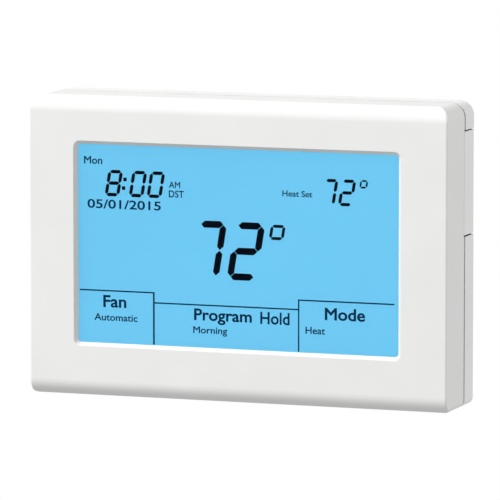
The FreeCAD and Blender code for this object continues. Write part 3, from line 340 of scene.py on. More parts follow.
def start_material(name: str) -> tuple[Material, ShaderTree, Node]:
    """Make a material with one Principled shader on its output.

    Args:
        name: The material's name.

    Returns:
        The material, its node tree and the Principled node.
    """
    material = bpy.data.materials.new(name)
    material.use_nodes = True
    material.node_tree.nodes.clear()
    shader = ShaderTree(material.node_tree)
    principled = shader.add("ShaderNodeBsdfPrincipled")
    shader.add("ShaderNodeOutputMaterial", {"Surface": principled.outputs[0]})
    return material, shader, principled


# Finishes


@dataclass(frozen=True)
class Finish:
    """A named finish; each kind says what feeds its Principled shader."""

    name: str

    def sockets(self, shader: ShaderTree, effects: Effects) -> Inputs:
        """Say what feeds the Principled shader.

        Args:
            shader: Tree of the new material.
            effects: Shared node groups.

        Returns:
            A value or an output socket for each input, by name.
        """
        raise NotImplementedError

    def build(self, effects: Effects) -> Material:
        """Make the material.

        Args:
            effects: Shared node groups.

        Returns:
            The material.
        """
        material, shader, principled = start_material(self.name)
        shader.feed(principled, self.sockets(shader, effects))
        return material


@dataclass(frozen=True)
class MouldedPlastic(Finish):
    """Injection-moulded plastic with a fine mould texture."""

    colour: Colour
    roughness: float = 0.42
    grain: float = 0.28 * MM
    grain_depth: float = 0.006 * MM
    patches: float = 45.0
    tone_change: float = 0.015
    edge_radius: float = 0.15 * MM
    wear: float = 0.35
    polish: float = 0.12
    # Dust with painted shade on upward faces: how much, and its grey-beige colour.
    dust: float = 0.0
    painted_top_shade_and_dust_colour: Colour = (0.62, 0.60, 0.56)
    specular: float = 0.5
    # Painted shade in narrow gaps: how strongly, and the share of the colour's light left there.
    crevice: float = 1.0
    crevice_painted_shade_light: float = 0.02

    def sockets(self, shader: ShaderTree, effects: Effects) -> Inputs:
        """Mould grain, polished edges, dust with painted shade on upward faces and painted shade in crevices
        over one colour.
        """
        inputs = {"Grain per metre": 1.0 / self.grain, "Patches per metre": self.patches}
        grain = shader.effect(effects.grain, inputs).outputs
        wear = shader.effect(effects.wear, {"Radius": self.edge_radius, "Amount": self.wear}).outputs
        # Dust with painted shade: upward faces darkened to grey-beige and made rougher.
        dust = shader.effect(effects.dust, {"Amount": self.dust}).outputs["Mask"]
        # Painted shade in narrow gaps, found by ambient occlusion.
        crevice = shader.effect(effects.crevice, {"Amount": self.crevice}).outputs["Mask"]
        lighter = tuple(min(1.0, c * (1 + self.tone_change)) for c in self.colour)
        colour = shader.blend(grain["Tone"], dimmed(self.colour, 1 - self.tone_change), lighter)
        colour = shader.blend(wear["Mask"], colour, paled(self.colour, self.polish))
        # Painted shade on upward faces, grey-beige and specked like dust.
        colour = shader.blend(dust, colour, self.painted_top_shade_and_dust_colour)
        # Painted shade: the colour dimmed to near black deep in narrow gaps.
        colour = shader.blend(crevice, colour, dimmed(self.colour, self.crevice_painted_shade_light))
        rough = shader.spread(grain["Tone"], self.roughness - 0.04, self.roughness + 0.04)
        rough = shader.maths("MULTIPLY_ADD", wear["Mask"], -0.15, rough)
        rough = shader.maths("MULTIPLY_ADD", dust, 0.4, rough, clamp=True)
        return {"Base Color": colour, "Roughness": rough, "Specular IOR Level": self.specular,
                "Normal": shader.bump(grain["Height"], self.grain_depth, wear["Normal"])}


@dataclass(frozen=True)
class Metal(Finish):
    """Drawn, rolled or plated metal."""

    colour: Colour
    roughness: float = 0.28
    stretch: Point = (1.0, 1.0, 1.0)
    line_depth: float = 0.002 * MM
    edge_radius: float = 0.08 * MM
    wear: float = 0.5
    tarnish: float = 0.78
    shine: float = 0.35

    def sockets(self, shader: ShaderTree, effects: Effects) -> Inputs:
        """Streaks and stains, with brighter edges."""
        streaks = shader.effect(effects.streaks, {"Stretch": self.stretch}).outputs
        wear = shader.effect(effects.wear, {"Radius": self.edge_radius, "Amount": self.wear}).outputs
        colour = shader.blend(streaks["Tone"], dimmed(self.colour, self.tarnish), self.colour)
        colour = shader.blend(wear["Mask"], colour, paled(self.colour, self.shine))
        rough = shader.spread(streaks["Tone"], self.roughness + 0.1, self.roughness - 0.06)
        return {"Base Color": colour, "Roughness": rough, "Metallic": 1.0,
                "Normal": shader.bump(streaks["Height"], self.line_depth, wear["Normal"])}


@dataclass(frozen=True)
class ClearSheet(Finish):
    """Clear glass or acrylic with faint fingertip smudges."""

    tint: Colour
    ior: float = 1.5
    roughness: float = 0.02
    smudges: float = 0.08
    smudge_light: float = 0.985

    def sockets(self, shader: ShaderTree, effects: Effects) -> Inputs:
        """Smudges that are a little duller and darker than the sheet."""
        smudge = shader.effect(effects.smudges, {"Amount": self.smudges}).outputs["Mask"]
        return {"Base Color": shader.blend(smudge, self.tint, dimmed(self.tint, self.smudge_light)),
                "Roughness": shader.maths("ADD", smudge, self.roughness),
                "IOR": self.ior, "Transmission Weight": 1.0}


@dataclass(frozen=True)
class LitFilm(Finish):
    """Front film of the display, lit from behind."""

    light: Colour
    strength: float = 1.0
    fade: float = 0.03
    roughness: float = 0.5
    unlit: Colour = (0.04, 0.14, 0.2)
    unlit_dark: Colour = (0.03, 0.12, 0.18)

    def sockets(self, shader: ShaderTree, effects: Effects) -> Inputs:
        """Even glow with a little less light between the lamps."""
        place = shader.place()
        wide = shader.noise(place, 18.0, 2.0)
        mixed = shader.maths("MULTIPLY_ADD", shader.noise(place, 9000.0, 1.0), 0.25, wide)
        share = shader.spread(mixed, 0.0, 1.0, 0.35, 0.9)
        return {"Emission Color": shader.blend(share, dimmed(self.light, 1 - self.fade), self.light),
                "Base Color": shader.blend(shader.spread(wide, 0.0, 1.0), self.unlit_dark, self.unlit),
                "Emission Strength": self.strength, "Roughness": self.roughness}


@dataclass(frozen=True)
class SegmentInk(Finish):
    """Dark state of the display's liquid crystal."""

    colour: Colour
    leak: Colour
    roughness: float = 0.6
    specular: float = 0.1

    def sockets(self, shader: ShaderTree, effects: Effects) -> Inputs:
        """Near black, with the little light that leaks through."""
        share = shader.spread(shader.noise(shader.place(), 300.0, 2.0), 0.0, 1.0, 0.3, 0.7)
        return {"Emission Color": shader.blend(share, dimmed(self.leak, 0.7), self.leak),
                "Base Color": shader.blend(share, dimmed(self.colour, 0.6), self.colour),
                "Emission Strength": 1.0, "Roughness": self.roughness,
                "Specular IOR Level": self.specular}


@dataclass(frozen=True)
class CircuitBoard(Finish):
    """Green solder mask over copper tracks, with plated holes and pads."""

    mask: Colour = (0.012, 0.11, 0.045)
    track: Colour = (0.03, 0.21, 0.08)
    pad: Colour = (0.55, 0.5, 0.36)
    pitch: float = 1.27 * MM
    relief: float = 0.03 * MM

    def sockets(self, shader: ShaderTree, effects: Effects) -> Inputs:
        """Tracks as thin brighter lines on a square pitch, and round pads."""
        turned = {"Vector": shader.place(), "Rotation": (QUARTER_TURN, 0, 0)}
        plane = shader.add("ShaderNodeMapping", turned).outputs[0]
        fields = shader.add("ShaderNodeTexVoronoi", {"Vector": plane, "Scale": 0.16 / self.pitch},
                            feature="F1", distance="CHEBYCHEV")
        turn = shader.maths("GREATER_THAN", fields.outputs["Distance"], 0.36)
        axes = shader.add("ShaderNodeSeparateXYZ", {0: plane}).outputs
        across, along = (shader.from_line(axes[axis], self.pitch) for axis in "XY")
        chosen = shader.add("ShaderNodeMix", {0: turn, 2: across, 3: along}, data_type="FLOAT").outputs[0]
        line = shader.spread(chosen, 1.0, 0.0, 0.1 * MM, 0.16 * MM)
        spots = shader.add("ShaderNodeTexVoronoi", {"Vector": plane, "Scale": 0.3 / self.pitch},
                           feature="F1")
        pad = shader.spread(spots.outputs["Distance"], 1.0, 0.0, 0.09, 0.12)
        height = shader.maths("MAXIMUM", line, pad)
        return {"Base Color": shader.blend(pad, shader.blend(line, self.mask, self.track), self.pad),
                "Roughness": shader.spread(height, 0.38, 0.27),
                "Normal": shader.bump(height, self.relief), "Metallic": pad}


@dataclass(frozen=True)
class FlexCircuit(Finish):
    """Amber film with copper tracks along its length."""

    film: Colour = (0.45, 0.17, 0.02)
    copper: Colour = (0.75, 0.36, 0.12)
    pitch: float = 1.0 * MM
    relief: float = 0.02 * MM

    def sockets(self, shader: ShaderTree, effects: Effects) -> Inputs:
        """Parallel tracks that stand a little proud."""
        line = shader.spread(shader.from_line(shader.across(), self.pitch), 1.0, 0.0, 0.22 * MM, 0.28 * MM)
        return {"Base Color": shader.blend(line, self.film, self.copper),
                "Roughness": shader.spread(line, 0.35, 0.25), "Normal": shader.bump(line, self.relief)}


@dataclass(frozen=True)
class LayeredRubber(Finish):
    """Elastomer strip of thin conducting and insulating layers."""

    pale: Colour = (0.62, 0.60, 0.58)
    dark: Colour = (0.02, 0.02, 0.022)
    pitch: float = 0.18 * MM
    relief: float = 0.01 * MM

    def sockets(self, shader: ShaderTree, effects: Effects) -> Inputs:
        """Dark and pale layers in turn, with a fine grain."""
        layer = shader.spread(shader.from_line(shader.across(), self.pitch), 0.0, 1.0, 0.03 * MM, 0.06 * MM)
        grain = shader.effect(effects.grain, {"Grain per metre": 8000.0, "Patches per metre": 90.0}).outputs
        return {"Base Color": shader.blend(layer, self.dark, self.pale),
                "Roughness": shader.spread(grain["Tone"], 0.7, 0.85),
                "Normal": shader.bump(grain["Height"], self.relief)}


@dataclass(frozen=True)
class CellSleeve(Finish):
    """Printed plastic sleeve of a cell: a dark body and a copper-coloured band."""

    band_start: float
    band_end: float
    body: Colour = (0.012, 0.013, 0.015)
    band: Colour = (0.62, 0.27, 0.08)
    rubbed: Colour = (0.35, 0.35, 0.36)
    relief: float = 0.02 * MM

    def sockets(self, shader: ShaderTree, effects: Effects) -> Inputs:
        """Print under a clear coat, rubbed at the edges."""
        along = shader.across()
        inside = shader.product(shader.maths("GREATER_THAN", along, self.band_start),
                                shader.maths("LESS_THAN", along, self.band_end))
        tone = shader.effect(effects.grain, {"Grain per metre": 5000.0,
                                             "Patches per metre": 120.0}).outputs["Tone"]
        wear = shader.effect(effects.wear, {"Radius": 0.2 * MM, "Amount": 0.7}).outputs
        printed = shader.blend(inside, self.body, self.band)
        return {"Base Color": shader.blend(wear["Mask"], printed, self.rubbed),
                "Roughness": shader.spread(tone, 0.22, 0.34),
                "Normal": shader.bump(tone, self.relief, wear["Normal"]),
                "Metallic": shader.product(inside, 0.75), "Coat Weight": 0.5, "Coat Roughness": 0.12}


# Mesh helpers


def placed(name: str, data: ID) -> Object:
    """New object in the scene that shows some data."""
    item = bpy.data.objects.new(name, data)
    bpy.context.scene.collection.objects.link(item)
    return item


def axis_start(low: Vector, high: Vector) -> Vector:
    """Left end of a box's middle line along x."""
    return Vector((low.x, (low.y + high.y) / 2, (low.z + high.z) / 2))


def finished_piece(name: str, bm: BMesh, materials: Iterable[Material], body: Body,
                   replaced: Iterable[str] = (), smooth_below: float = 35.0) -> Object:
    """Turn a bmesh into a piece that rides on a body.

    Args:
        name: The piece's name.
        bm: The mesh, in place; it is freed here.
        materials: Materials in the order of the faces' material numbers.
        body: Body that the piece rides on.
        replaced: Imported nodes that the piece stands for.
        smooth_below: Edges flatter than this many degrees are shaded smooth.

    Returns:
        The new object.
    """
    bmesh.ops.remove_doubles(bm, verts=bm.verts[:], dist=MERGE_DISTANCE)
    bmesh.ops.recalc_face_normals(bm, faces=bm.faces[:])
    for face in bm.faces:
        face.smooth = True
    for edge in bm.edges:
        edge.smooth = len(edge.link_faces) != 2 or edge.calc_face_angle() < math.radians(smooth_below)
    mesh = bpy.data.meshes.new(name)
    bm.to_mesh(mesh)
    bm.free()
    for material in materials:
        mesh.materials.append(material)
    piece = placed(name, mesh)
    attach(piece, body.value)
    if replaced:
        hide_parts(*replaced)
    log.info("%s: %d faces on %s", name, len(mesh.polygons), body.value)
    return piece


def thicken(bm: BMesh, depth: float) -> None:
    """Give flat faces that look along y a thickness towards the front.

    Args:
        bm: The faces.
        depth: The thickness.
    """
    made = bmesh.ops.extrude_face_region(bm, geom=bm.faces[:])
    moved = [item for item in made["geom"] if isinstance(item, BMVert)]
    bmesh.ops.translate(bm, verts=moved, vec=Vector((0, -depth, 0)))


# Display


# Lower left is (0, 0) and upper right (1, 2), as column and row. Bars a to g make a digit, s to v a ring.
BARS = {"a": ((0, 2), (1, 2)), "b": ((1, 1), (1, 2)), "c": ((1, 0), (1, 1)), "d": ((0, 0), (1, 0)),
        "e": ((0, 0), (0, 1)), "f": ((0, 1), (0, 2)), "g": ((0, 1), (1, 1)),
        "s": ((0, 0), (1, 0)), "t": ((1, 0), (1, 2)), "u": ((1, 2), (0, 2)), "v": ((0, 2), (0, 0))}


@dataclass
class SegmentDigit:
    """One seven-segment digit or degree ring, slanted like the rest, in millimetres."""

    lit: str
    left: float
    base: float
    width: float
    height: float
    stroke: float
    slant: float = 0.165
    gap: float = 0.11

    def _corner(self, column: int, row: int) -> Vector:
        """Crossing of two stroke centre lines, upright, as x and z."""
        half = self.stroke / 2
        rows = (half, self.height / 2, self.height - half)
        return Vector((half if column == 0 else self.width - half, rows[row]))

    def draw(self, bm: BMesh, depth: float) -> None:
        """Add the lit segments as pointed bars.

        Args:
            bm: Mesh that takes the faces.
            depth: Plane of the faces, as y in metres.
        """
        for letter in self.lit:
            start, end = (self._corner(*corner) for corner in BARS[letter])
            way = (end - start).normalized()
            side = Vector((-way.y, way.x)) * self.stroke / 2
            start, end = start + way * self.gap, end - way * self.gap
            point = way * self.stroke / 2
            outline = [start, start + point + side, end - point + side, end, end - point - side,
                       start + point - side]
            bm.faces.new([bm.verts.new(((self.left + at.x + at.y * self.slant) * MM, depth,
                                        (self.base + at.y) * MM)) for at in outline])


@dataclass
class Caption:
    """One word or short line on the display, placed in millimetres."""

    words: str
    left: float
    base: float
    width: float
    capital: float
    weight: float = 0.0


@dataclass
class TouchDisplay:
    """Touch panel with the lit picture behind it."""

    picture_thickness: float = 0.03 * MM
    panel_edge: float = 0.12 * MM
    picture_gap: float = 0.09 * MM
    film_gap: float = 0.01 * MM
    bar_round: float = 0.12 * MM
    line: float = 0.5
    bold_line: float = 0.62
    small_weight: float = 0.016
    view_left: float = -58.3
    view_bottom: float = -33.4
    digits: list[SegmentDigit] = field(default_factory=lambda: [
        SegmentDigit("abcdefg", -49.1, 17.55, 5.45, 9.2, 1.2),
        SegmentDigit("abcdef", -40.2, 17.55, 5.45, 9.2, 1.2),
        SegmentDigit("abcdef", -33.63, 17.55, 5.5, 9.2, 1.2),
        SegmentDigit("abc", -17.95, -9.7, 10.7, 20.15, 2.4),
        SegmentDigit("abged", -4.35, -9.7, 10.95, 20.15, 2.4),
        SegmentDigit("abc", 29.8, 17.35, 4.95, 9.15, 1.12),
        SegmentDigit("abged", 35.95, 17.35, 5.2, 9.15, 1.12),
        SegmentDigit("stuv", 11.04, 4.76, 5.36, 5.25, 1.05),
        SegmentDigit("stuv", 43.63, 23.64, 2.8, 2.88, 0.62),
    ])
    colon: tuple[tuple[float, float], ...] = ((-41.47, 23.58), (-42.02, 20.56))
    colon_side: float = 1.25
    captions: list[Caption] = field(default_factory=lambda: [
        Caption("Mon", -56.6, 28.65, 6.75, 2.55),
        Caption("AM", -25.35, 21.32, 4.15, 2.08),
        Caption("DST", -25.35, 18.03, 5.5, 2.3),
        Caption("05/01/2015", -55.4, 13.32, 27.1, 2.95),
        Caption("Heat Set", 15.98, 19.95, 10.85, 2.0),
        Caption("Fan", -49.65, -21.0, 8.55, 4.0, 0.006),
        Caption("Automatic", -52.97, -25.74, 16.0, 2.33),
        Caption("Program", -16.17, -24.05, 21.1, 3.85, 0.006),
        Caption("Morning", -16.49, -28.6, 12.45, 2.28),
        Caption("Hold", 8.0, -24.3, 10.64, 4.0, 0.002),
        Caption("Mode", 31.38, -21.88, 14.5, 4.0, 0.006),
        Caption("Heat", 24.4, -27.0, 7.1, 2.35),
    ])

    def __post_init__(self) -> None:
        """Find the plane of the picture, just in front of the film."""
        self.picture_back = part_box("front_polariser")[0].y - self.film_gap

    def build(self, glass: Material, ink: Material,
              small_ink: Material) -> None:
        """Make the panel, the digits, the captions and the tab lines.

        Args:
            glass: Material of the touch panel.
            ink: Material of the digits.
            small_ink: Material of the captions and lines.
        """
        self._touch_window(glass)
        self._digits(ink)
        self._captions(small_ink)
        self._tab_lines(small_ink)

    def _touch_window(self, glass: Material) -> None:
        """Pane with eased edges that stops just short of the picture.

        Args:
            glass: Material of the pane.
        """
        low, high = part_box("touch_panel")
        high = Vector((high.x, high.y - self.picture_gap, high.z))
        bm = bmesh.new()
        bmesh.ops.create_cube(bm, size=1.0)
        bmesh.ops.scale(bm, vec=high - low, verts=bm.verts[:])
        bmesh.ops.translate(bm, vec=(low + high) / 2, verts=bm.verts[:])
        bmesh.ops.bevel(bm, geom=bm.edges[:], offset=self.panel_edge, segments=3, profile=0.5,
                        affect="EDGES", material=-1)
        finished_piece("touch_window", bm, [glass], Body.DISPLAY_UNIT, ["touch_panel"], 5.0)

    def _digits(self, ink: Material) -> None:
        """All seven-segment numbers, the degree signs and the colon.

        Args:
            ink: Material of the digits.
        """
        bm = bmesh.new()
        for digit in self.digits:
            digit.draw(bm, self.picture_back)
        half = self.colon_side / 2
        for x, z in self.colon:
            self._bar(bm, x - half, x + half, z - half, z + half)
        bmesh.ops.bevel(bm, geom=bm.verts[:], offset=self.bar_round, segments=2, profile=0.5,
                        affect="VERTICES", material=-1)
        thicken(bm, self.picture_thickness)
        finished_piece("display_digits", bm, [ink], Body.DISPLAY_UNIT)

    def _bar(self, bm: BMesh, left: float, right: float, low: float, high: float) -> None:
        """Flat rectangle on the picture plane, in millimetres.

        Args:
            bm: Mesh that takes the face.
            left: Its left side.
            right: Its right side.
            low: Its lower side.
            high: Its upper side.
        """
        made = bmesh.ops.create_grid(bm, x_segments=1, y_segments=1, size=0.5)
        turn = Matrix.Rotation(QUARTER_TURN, 4, "X")
        size = Matrix.Diagonal(Vector(((right - left) * MM, 1.0, (high - low) * MM, 1.0)))
        middle = ((left + right) / 2 * MM, self.picture_back, (low + high) / 2 * MM)
        place = Matrix.Translation(Vector(middle))
        bmesh.ops.transform(bm, matrix=place @ size @ turn, verts=made["verts"])

    def _captions(self, ink: Material) -> None:
        """Words in the display's plain typeface, each fitted to its place.

        Args:
            ink: Material of the words.
        """
        bm = bmesh.new()
        capital = self._letter_mesh("H", 0.0)
        capital_height = max(v.co.y for v in capital.vertices)
        bpy.data.meshes.remove(capital)
        for caption in self.captions:
            mesh = self._letter_mesh(caption.words, self.small_weight + caption.weight)
            places = [vert.co.x for vert in mesh.vertices]
            across = caption.width * MM / (max(places) - min(places))
            tall = caption.capital * MM / capital_height
            move = Matrix.Translation(Vector((caption.left * MM, self.picture_back, caption.base * MM)))
            turn = Matrix.Rotation(QUARTER_TURN, 4, "X")
            size = Matrix.Diagonal(Vector((across, tall, 1.0, 1.0)))
            mesh.transform(move @ turn @ size @ Matrix.Translation(Vector((-min(places), 0.0, 0.0))))
            bm.from_mesh(mesh)
            bpy.data.meshes.remove(mesh)
        bmesh.ops.remove_doubles(bm, verts=bm.verts[:], dist=MERGE_DISTANCE)
        thicken(bm, self.picture_thickness)
        finished_piece("display_captions", bm, [ink], Body.DISPLAY_UNIT)

    @staticmethod
    def _letter_mesh(words: str, weight: float) -> Mesh:
        """Flat mesh of some words at unit size.

        Args:
            words: What to write.
            weight: Extra stroke weight, as a share of the letters' size.

        Returns:
            The mesh, in the xy plane.
        """
        curve = bpy.data.curves.new("lettering", "FONT")
        curve.body = words
        curve.size = 1.0
        curve.resolution_u = 4
        holder = placed("lettering", curve)
        graph = bpy.context.evaluated_depsgraph_get()
        mesh = bpy.data.meshes.new_from_object(holder.evaluated_get(graph))
        bpy.data.objects.remove(holder)
        bpy.data.curves.remove(curve)
        bm = bmesh.new()
        bm.from_mesh(mesh)
        bmesh.ops.remove_doubles(bm, verts=bm.verts[:], dist=0.0001)
        moves = {}
        for vert in bm.verts:
            sides = [TouchDisplay._outward(edge) for edge in vert.link_edges if edge.is_boundary]
            if len(sides) == 2:
                mitre = (sides[0] + sides[1]) / max(SHARPEST_MITRE, 1.0 + sides[0].dot(sides[1]))
                moves[vert] = mitre * weight
        for vert, move in moves.items():
            vert.co += move
        bm.to_mesh(mesh)
        bm.free()
        return mesh

    @staticmethod
    def _outward(edge: BMEdge) -> Vector:
        """Unit vector that points from a flat shape out over one of its border edges.

        Args:
            edge: The border edge.

        Returns:
            The vector, in the shape's plane.
        """
        along = (edge.verts[1].co - edge.verts[0].co).normalized()
        side = along.cross(Vector((0, 0, 1)))
        inside = edge.link_faces[0].calc_center_median() - edge.verts[0].co
        return -side if side.dot(inside) > 0 else side

    def _tab_lines(self, ink: Material) -> None:
        """Outlines of the three tabs along the display's lower edge.

        Args:
            ink: Material of the lines.
        """
        bm = bmesh.new()
        half = self.line / 2
        bold = self.bold_line / 2
        fan_edge, mode_edge, mode_end = -30.95, 21.93, 56.35
        fan_top, program_top, mode_top = -15.35, -18.85, -15.58
        self._bar(bm, self.view_left, fan_edge + bold, fan_top - half, fan_top + half)
        self._bar(bm, fan_edge - bold, fan_edge + bold, self.view_bottom, fan_top - half)
        self._bar(bm, fan_edge + bold, mode_edge - half, program_top - half, program_top + half)
        self._bar(bm, mode_edge - half, mode_edge + half, self.view_bottom, mode_top - half)
        self._bar(bm, mode_edge - half, mode_end, mode_top - half, mode_top + half)
        thicken(bm, self.picture_thickness)
        finished_piece("display_tab_lines", bm, [ink], Body.DISPLAY_UNIT)


# Cells and springs


@dataclass
class Cell:
    """Small cylindrical cell: steel ends and a shrunk sleeve."""

    node: str
    name: str
    rim: float = 0.45 * MM
    lip: float = 0.7 * MM
    nub_radius: float = 1.9 * MM
    nub_length: float = 0.9 * MM
    steps: int = 64

    def build(self, sleeve: Material, steel: Material, nub_right: bool) -> None:
        """Spin the cell's profile about its own axis.

        Args:
            sleeve: Material of the sleeve.
            steel: Material of both ends.
            nub_right: True if the raised end is at +x.
        """
        low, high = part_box(self.node)
        radius = (high.z - low.z) / 2
        length = high.x - low.x
        body_end = length - self.nub_length
        ring = radius - self.lip
        nub = self.nub_radius
        base = [(0.05 * MM, 0.0), (0.05 * MM, ring * 0.75), (0.0, ring * 0.8), (0.0, ring),
                (0.12 * MM, ring + 0.08 * MM)]
        fold = [(0.05 * MM, radius - self.rim), (0.08 * MM, radius - 0.22 * MM),
                (0.22 * MM, radius - 0.06 * MM), (self.rim, radius)]
        far_fold = [(body_end - x, r) for x, r in reversed(fold)]
        top = [(body_end - 0.25 * MM, ring), (body_end - 0.25 * MM, nub + 0.5 * MM),
               (body_end, nub + 0.15 * MM), (length - 0.2 * MM, nub), (length - 0.05 * MM, nub - 0.12 * MM),
               (length, nub - 0.35 * MM), (length, 0.0)]
        bm = bmesh.new()
        verts = [bm.verts.new((x, 0.0, r)) for x, r in base + fold + far_fold + top]
        edges = [bm.edges.new(pair) for pair in zip(verts, verts[1:])]
        bmesh.ops.spin(bm, geom=verts + edges, cent=(0, 0, 0), axis=(1, 0, 0), angle=2 * math.pi,
                       steps=self.steps, use_merge=True)
        sleeve_start, sleeve_end = base[-1][0] - self.lip, far_fold[-1][0] + self.lip
        for face in bm.faces:
            centre = face.calc_center_median()
            in_sleeve = math.hypot(centre.y, centre.z) > ring and sleeve_start < centre.x < sleeve_end
            face.material_index = 0 if in_sleeve else 1
        bmesh.ops.remove_doubles(bm, verts=bm.verts[:], dist=2 * MERGE_DISTANCE)
        if not nub_right:
            bmesh.ops.scale(bm, vec=Vector((-1, 1, 1)), verts=bm.verts[:])
            bmesh.ops.translate(bm, vec=Vector((length, 0, 0)), verts=bm.verts[:])
        bmesh.ops.translate(bm, vec=axis_start(low, high), verts=bm.verts[:])
        finished_piece(self.name, bm, [sleeve, steel], Body.BATTERY_DRAWER, [self.node])


@dataclass
class ContactSpring:
    """Coiled contact with flat end turns."""

    node: str
    name: str
    body: Body
    turns: float
    wire: float = 0.6 * MM
    end_turns: float = 0.6
    steps_per_turn: int = 28
    sides: int = 12

    def build(self, wire_material: Material) -> None:
        """Spin a round section along the spring: a flat turn, the rising turns, a flat turn.

        Args:
            wire_material: Material of the wire.
        """
        low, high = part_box(self.node)
        radius = (high.z - low.z - self.wire) / 2
        rise = high.x - low.x - self.wire
        flat = self.end_turns
        bm = bmesh.new()
        start = Matrix.Translation(Vector((self.wire / 2, 0.0, radius)))
        made = bmesh.ops.create_circle(bm, cap_ends=False, radius=self.wire / 2, segments=self.sides,
                                       matrix=start @ Matrix.Rotation(QUARTER_TURN, 4, "X"))
        section = made["verts"] + bm.edges[:]
        for turns, climb in ((flat, 0.0), (self.turns - 2 * flat, rise), (flat, 0.0)):
            steps = max(3, round(turns * self.steps_per_turn))
            spun = bmesh.ops.spin(bm, geom=section, cent=(0, 0, 0), axis=(1, 0, 0),
                                  dvec=(climb / steps, 0, 0), angle=turns * 2 * math.pi, steps=steps)
            section = spun["geom_last"]
        bmesh.ops.holes_fill(bm, edges=[edge for edge in bm.edges if edge.is_boundary], sides=0)
        bmesh.ops.translate(bm, vec=axis_start(low, high), verts=bm.verts[:])
        finished_piece(self.name, bm, [wire_material], self.body, [self.node], 60.0)


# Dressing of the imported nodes


def all_finishes() -> list[Finish]:
    """Every finish of the thermostat; one for a packed slot has the slot's name.

    Returns:
        The finishes.
    """
    rear_shell = screen_colour(245, 245, 244)
    return [
        MouldedPlastic("cover_plastic", screen_colour(240, 240, 239)),
        # The housing's upward faces get dust with painted shade, darker than its sides.
        MouldedPlastic("housing_plastic", rear_shell, 0.46, dust=0.4),
        MouldedPlastic("door_plastic", rear_shell, 0.44),
        MouldedPlastic("plate_plastic", screen_colour(232, 232, 228), 0.5, 0.4 * MM, 0.012 * MM),
        MouldedPlastic("frame_plastic", screen_colour(226, 226, 222), 0.5),
        MouldedPlastic("terminal_plastic", screen_colour(205, 210, 208), 0.38, wear=0.6),
        MouldedPlastic("gasket_foam", screen_colour(196, 194, 188), 0.9, 0.22 * MM, 0.06 * MM,
                       tone_change=0.08, edge_radius=0.05 * MM, wear=0.0, specular=0.2),
        ClearSheet("touch_glass", (1.0, 1.0, 1.0)),
        MouldedPlastic("film", screen_colour(178, 186, 190), 0.3, wear=0.0),
        ClearSheet("lcd_glass", (0.93, 0.98, 0.97), smudges=0.0),
        MouldedPlastic("diffuser_white", screen_colour(244, 245, 245), 0.6, 0.1 * MM),
        ClearSheet("guide_clear", (0.95, 0.99, 1.0), ior=1.49, smudges=0.02),
        LayeredRubber("strip_rubber"),
        FlexCircuit("tail_film"),
        CircuitBoard("board"),
        MouldedPlastic("chip_black", (0.018, 0.018, 0.02), 0.55, 0.12 * MM, 0.012 * MM, tone_change=0.15),
        MouldedPlastic("relay_case", screen_colour(34, 72, 128), 0.35),
        MouldedPlastic("capacitor_can", screen_colour(28, 36, 58), 0.28, grain_depth=0.002 * MM),
        Metal("crystal_can", (0.72, 0.72, 0.71), 0.22, (0.1, 1.0, 1.0)),
        Metal("screw_steel", (0.62, 0.62, 0.63), 0.3, (1.0, 0.1, 1.0)),
        Metal("contact_metal", (0.78, 0.73, 0.58), 0.26, (1.0, 1.0, 0.1)),
        Metal("spring_wire", (0.72, 0.72, 0.74), 0.2, (0.2, 1.0, 1.0)),
        MouldedPlastic("lamp", screen_colour(238, 232, 190), 0.3),
        LitFilm("lit_film", (0.15, 0.58, 0.893)),
        SegmentInk("segment_ink", (0.0005, 0.001, 0.002), (0.0, 0.001, 0.006)),
        SegmentInk("caption_ink", (0.002, 0.006, 0.012), (0.0, 0.026, 0.085)),
        Metal("cell_steel", (0.66, 0.65, 0.64), 0.24, (1.0, 0.2, 0.2)),
    ]


class Wardrobe:
    """The materials, and which packed slot or node takes which."""

    by_node: dict[str, str] = {"front_polariser": "lit_film"}

    def __init__(self) -> None:
        """Build the materials."""
        self.effects = Effects()
        self.materials = {finish.name: finish.build(self.effects) for finish in all_finishes()}

    def dress(self) -> None:
        """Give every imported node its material, slot by slot."""
        for name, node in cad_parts.items():
            for holder in node.material_slots:
                slot = holder.material.name.split(".")[0] if holder.material else ""
                finish = self.materials.get(self.by_node.get(name, slot))
                if finish is None:
                    log.warning("%s has no finish for %s", name, slot)
                    continue
                holder.link = "OBJECT"
                holder.material = finish
            log.info("dressed %s", name)


# Studio


@dataclass
class SoftLight:
    """One large soft box."""

    name: str
    place: Point
    size: float
    power: float

    def build(self) -> None:
        """Add the light, turned to the thermostat and hidden from the camera and glossy faces."""
        data = bpy.data.lights.new(self.name, "AREA")
        data.shape = "SQUARE"
        data.size = self.size
        data.energy = self.power
        lamp = placed(self.name, data)
        lamp.location = self.place
        lamp.rotation_mode = "QUATERNION"
        lamp.rotation_quaternion = (-Vector(self.place)).to_track_quat("-Z", "Y")
        lamp.visible_camera = False
        lamp.visible_glossy = False


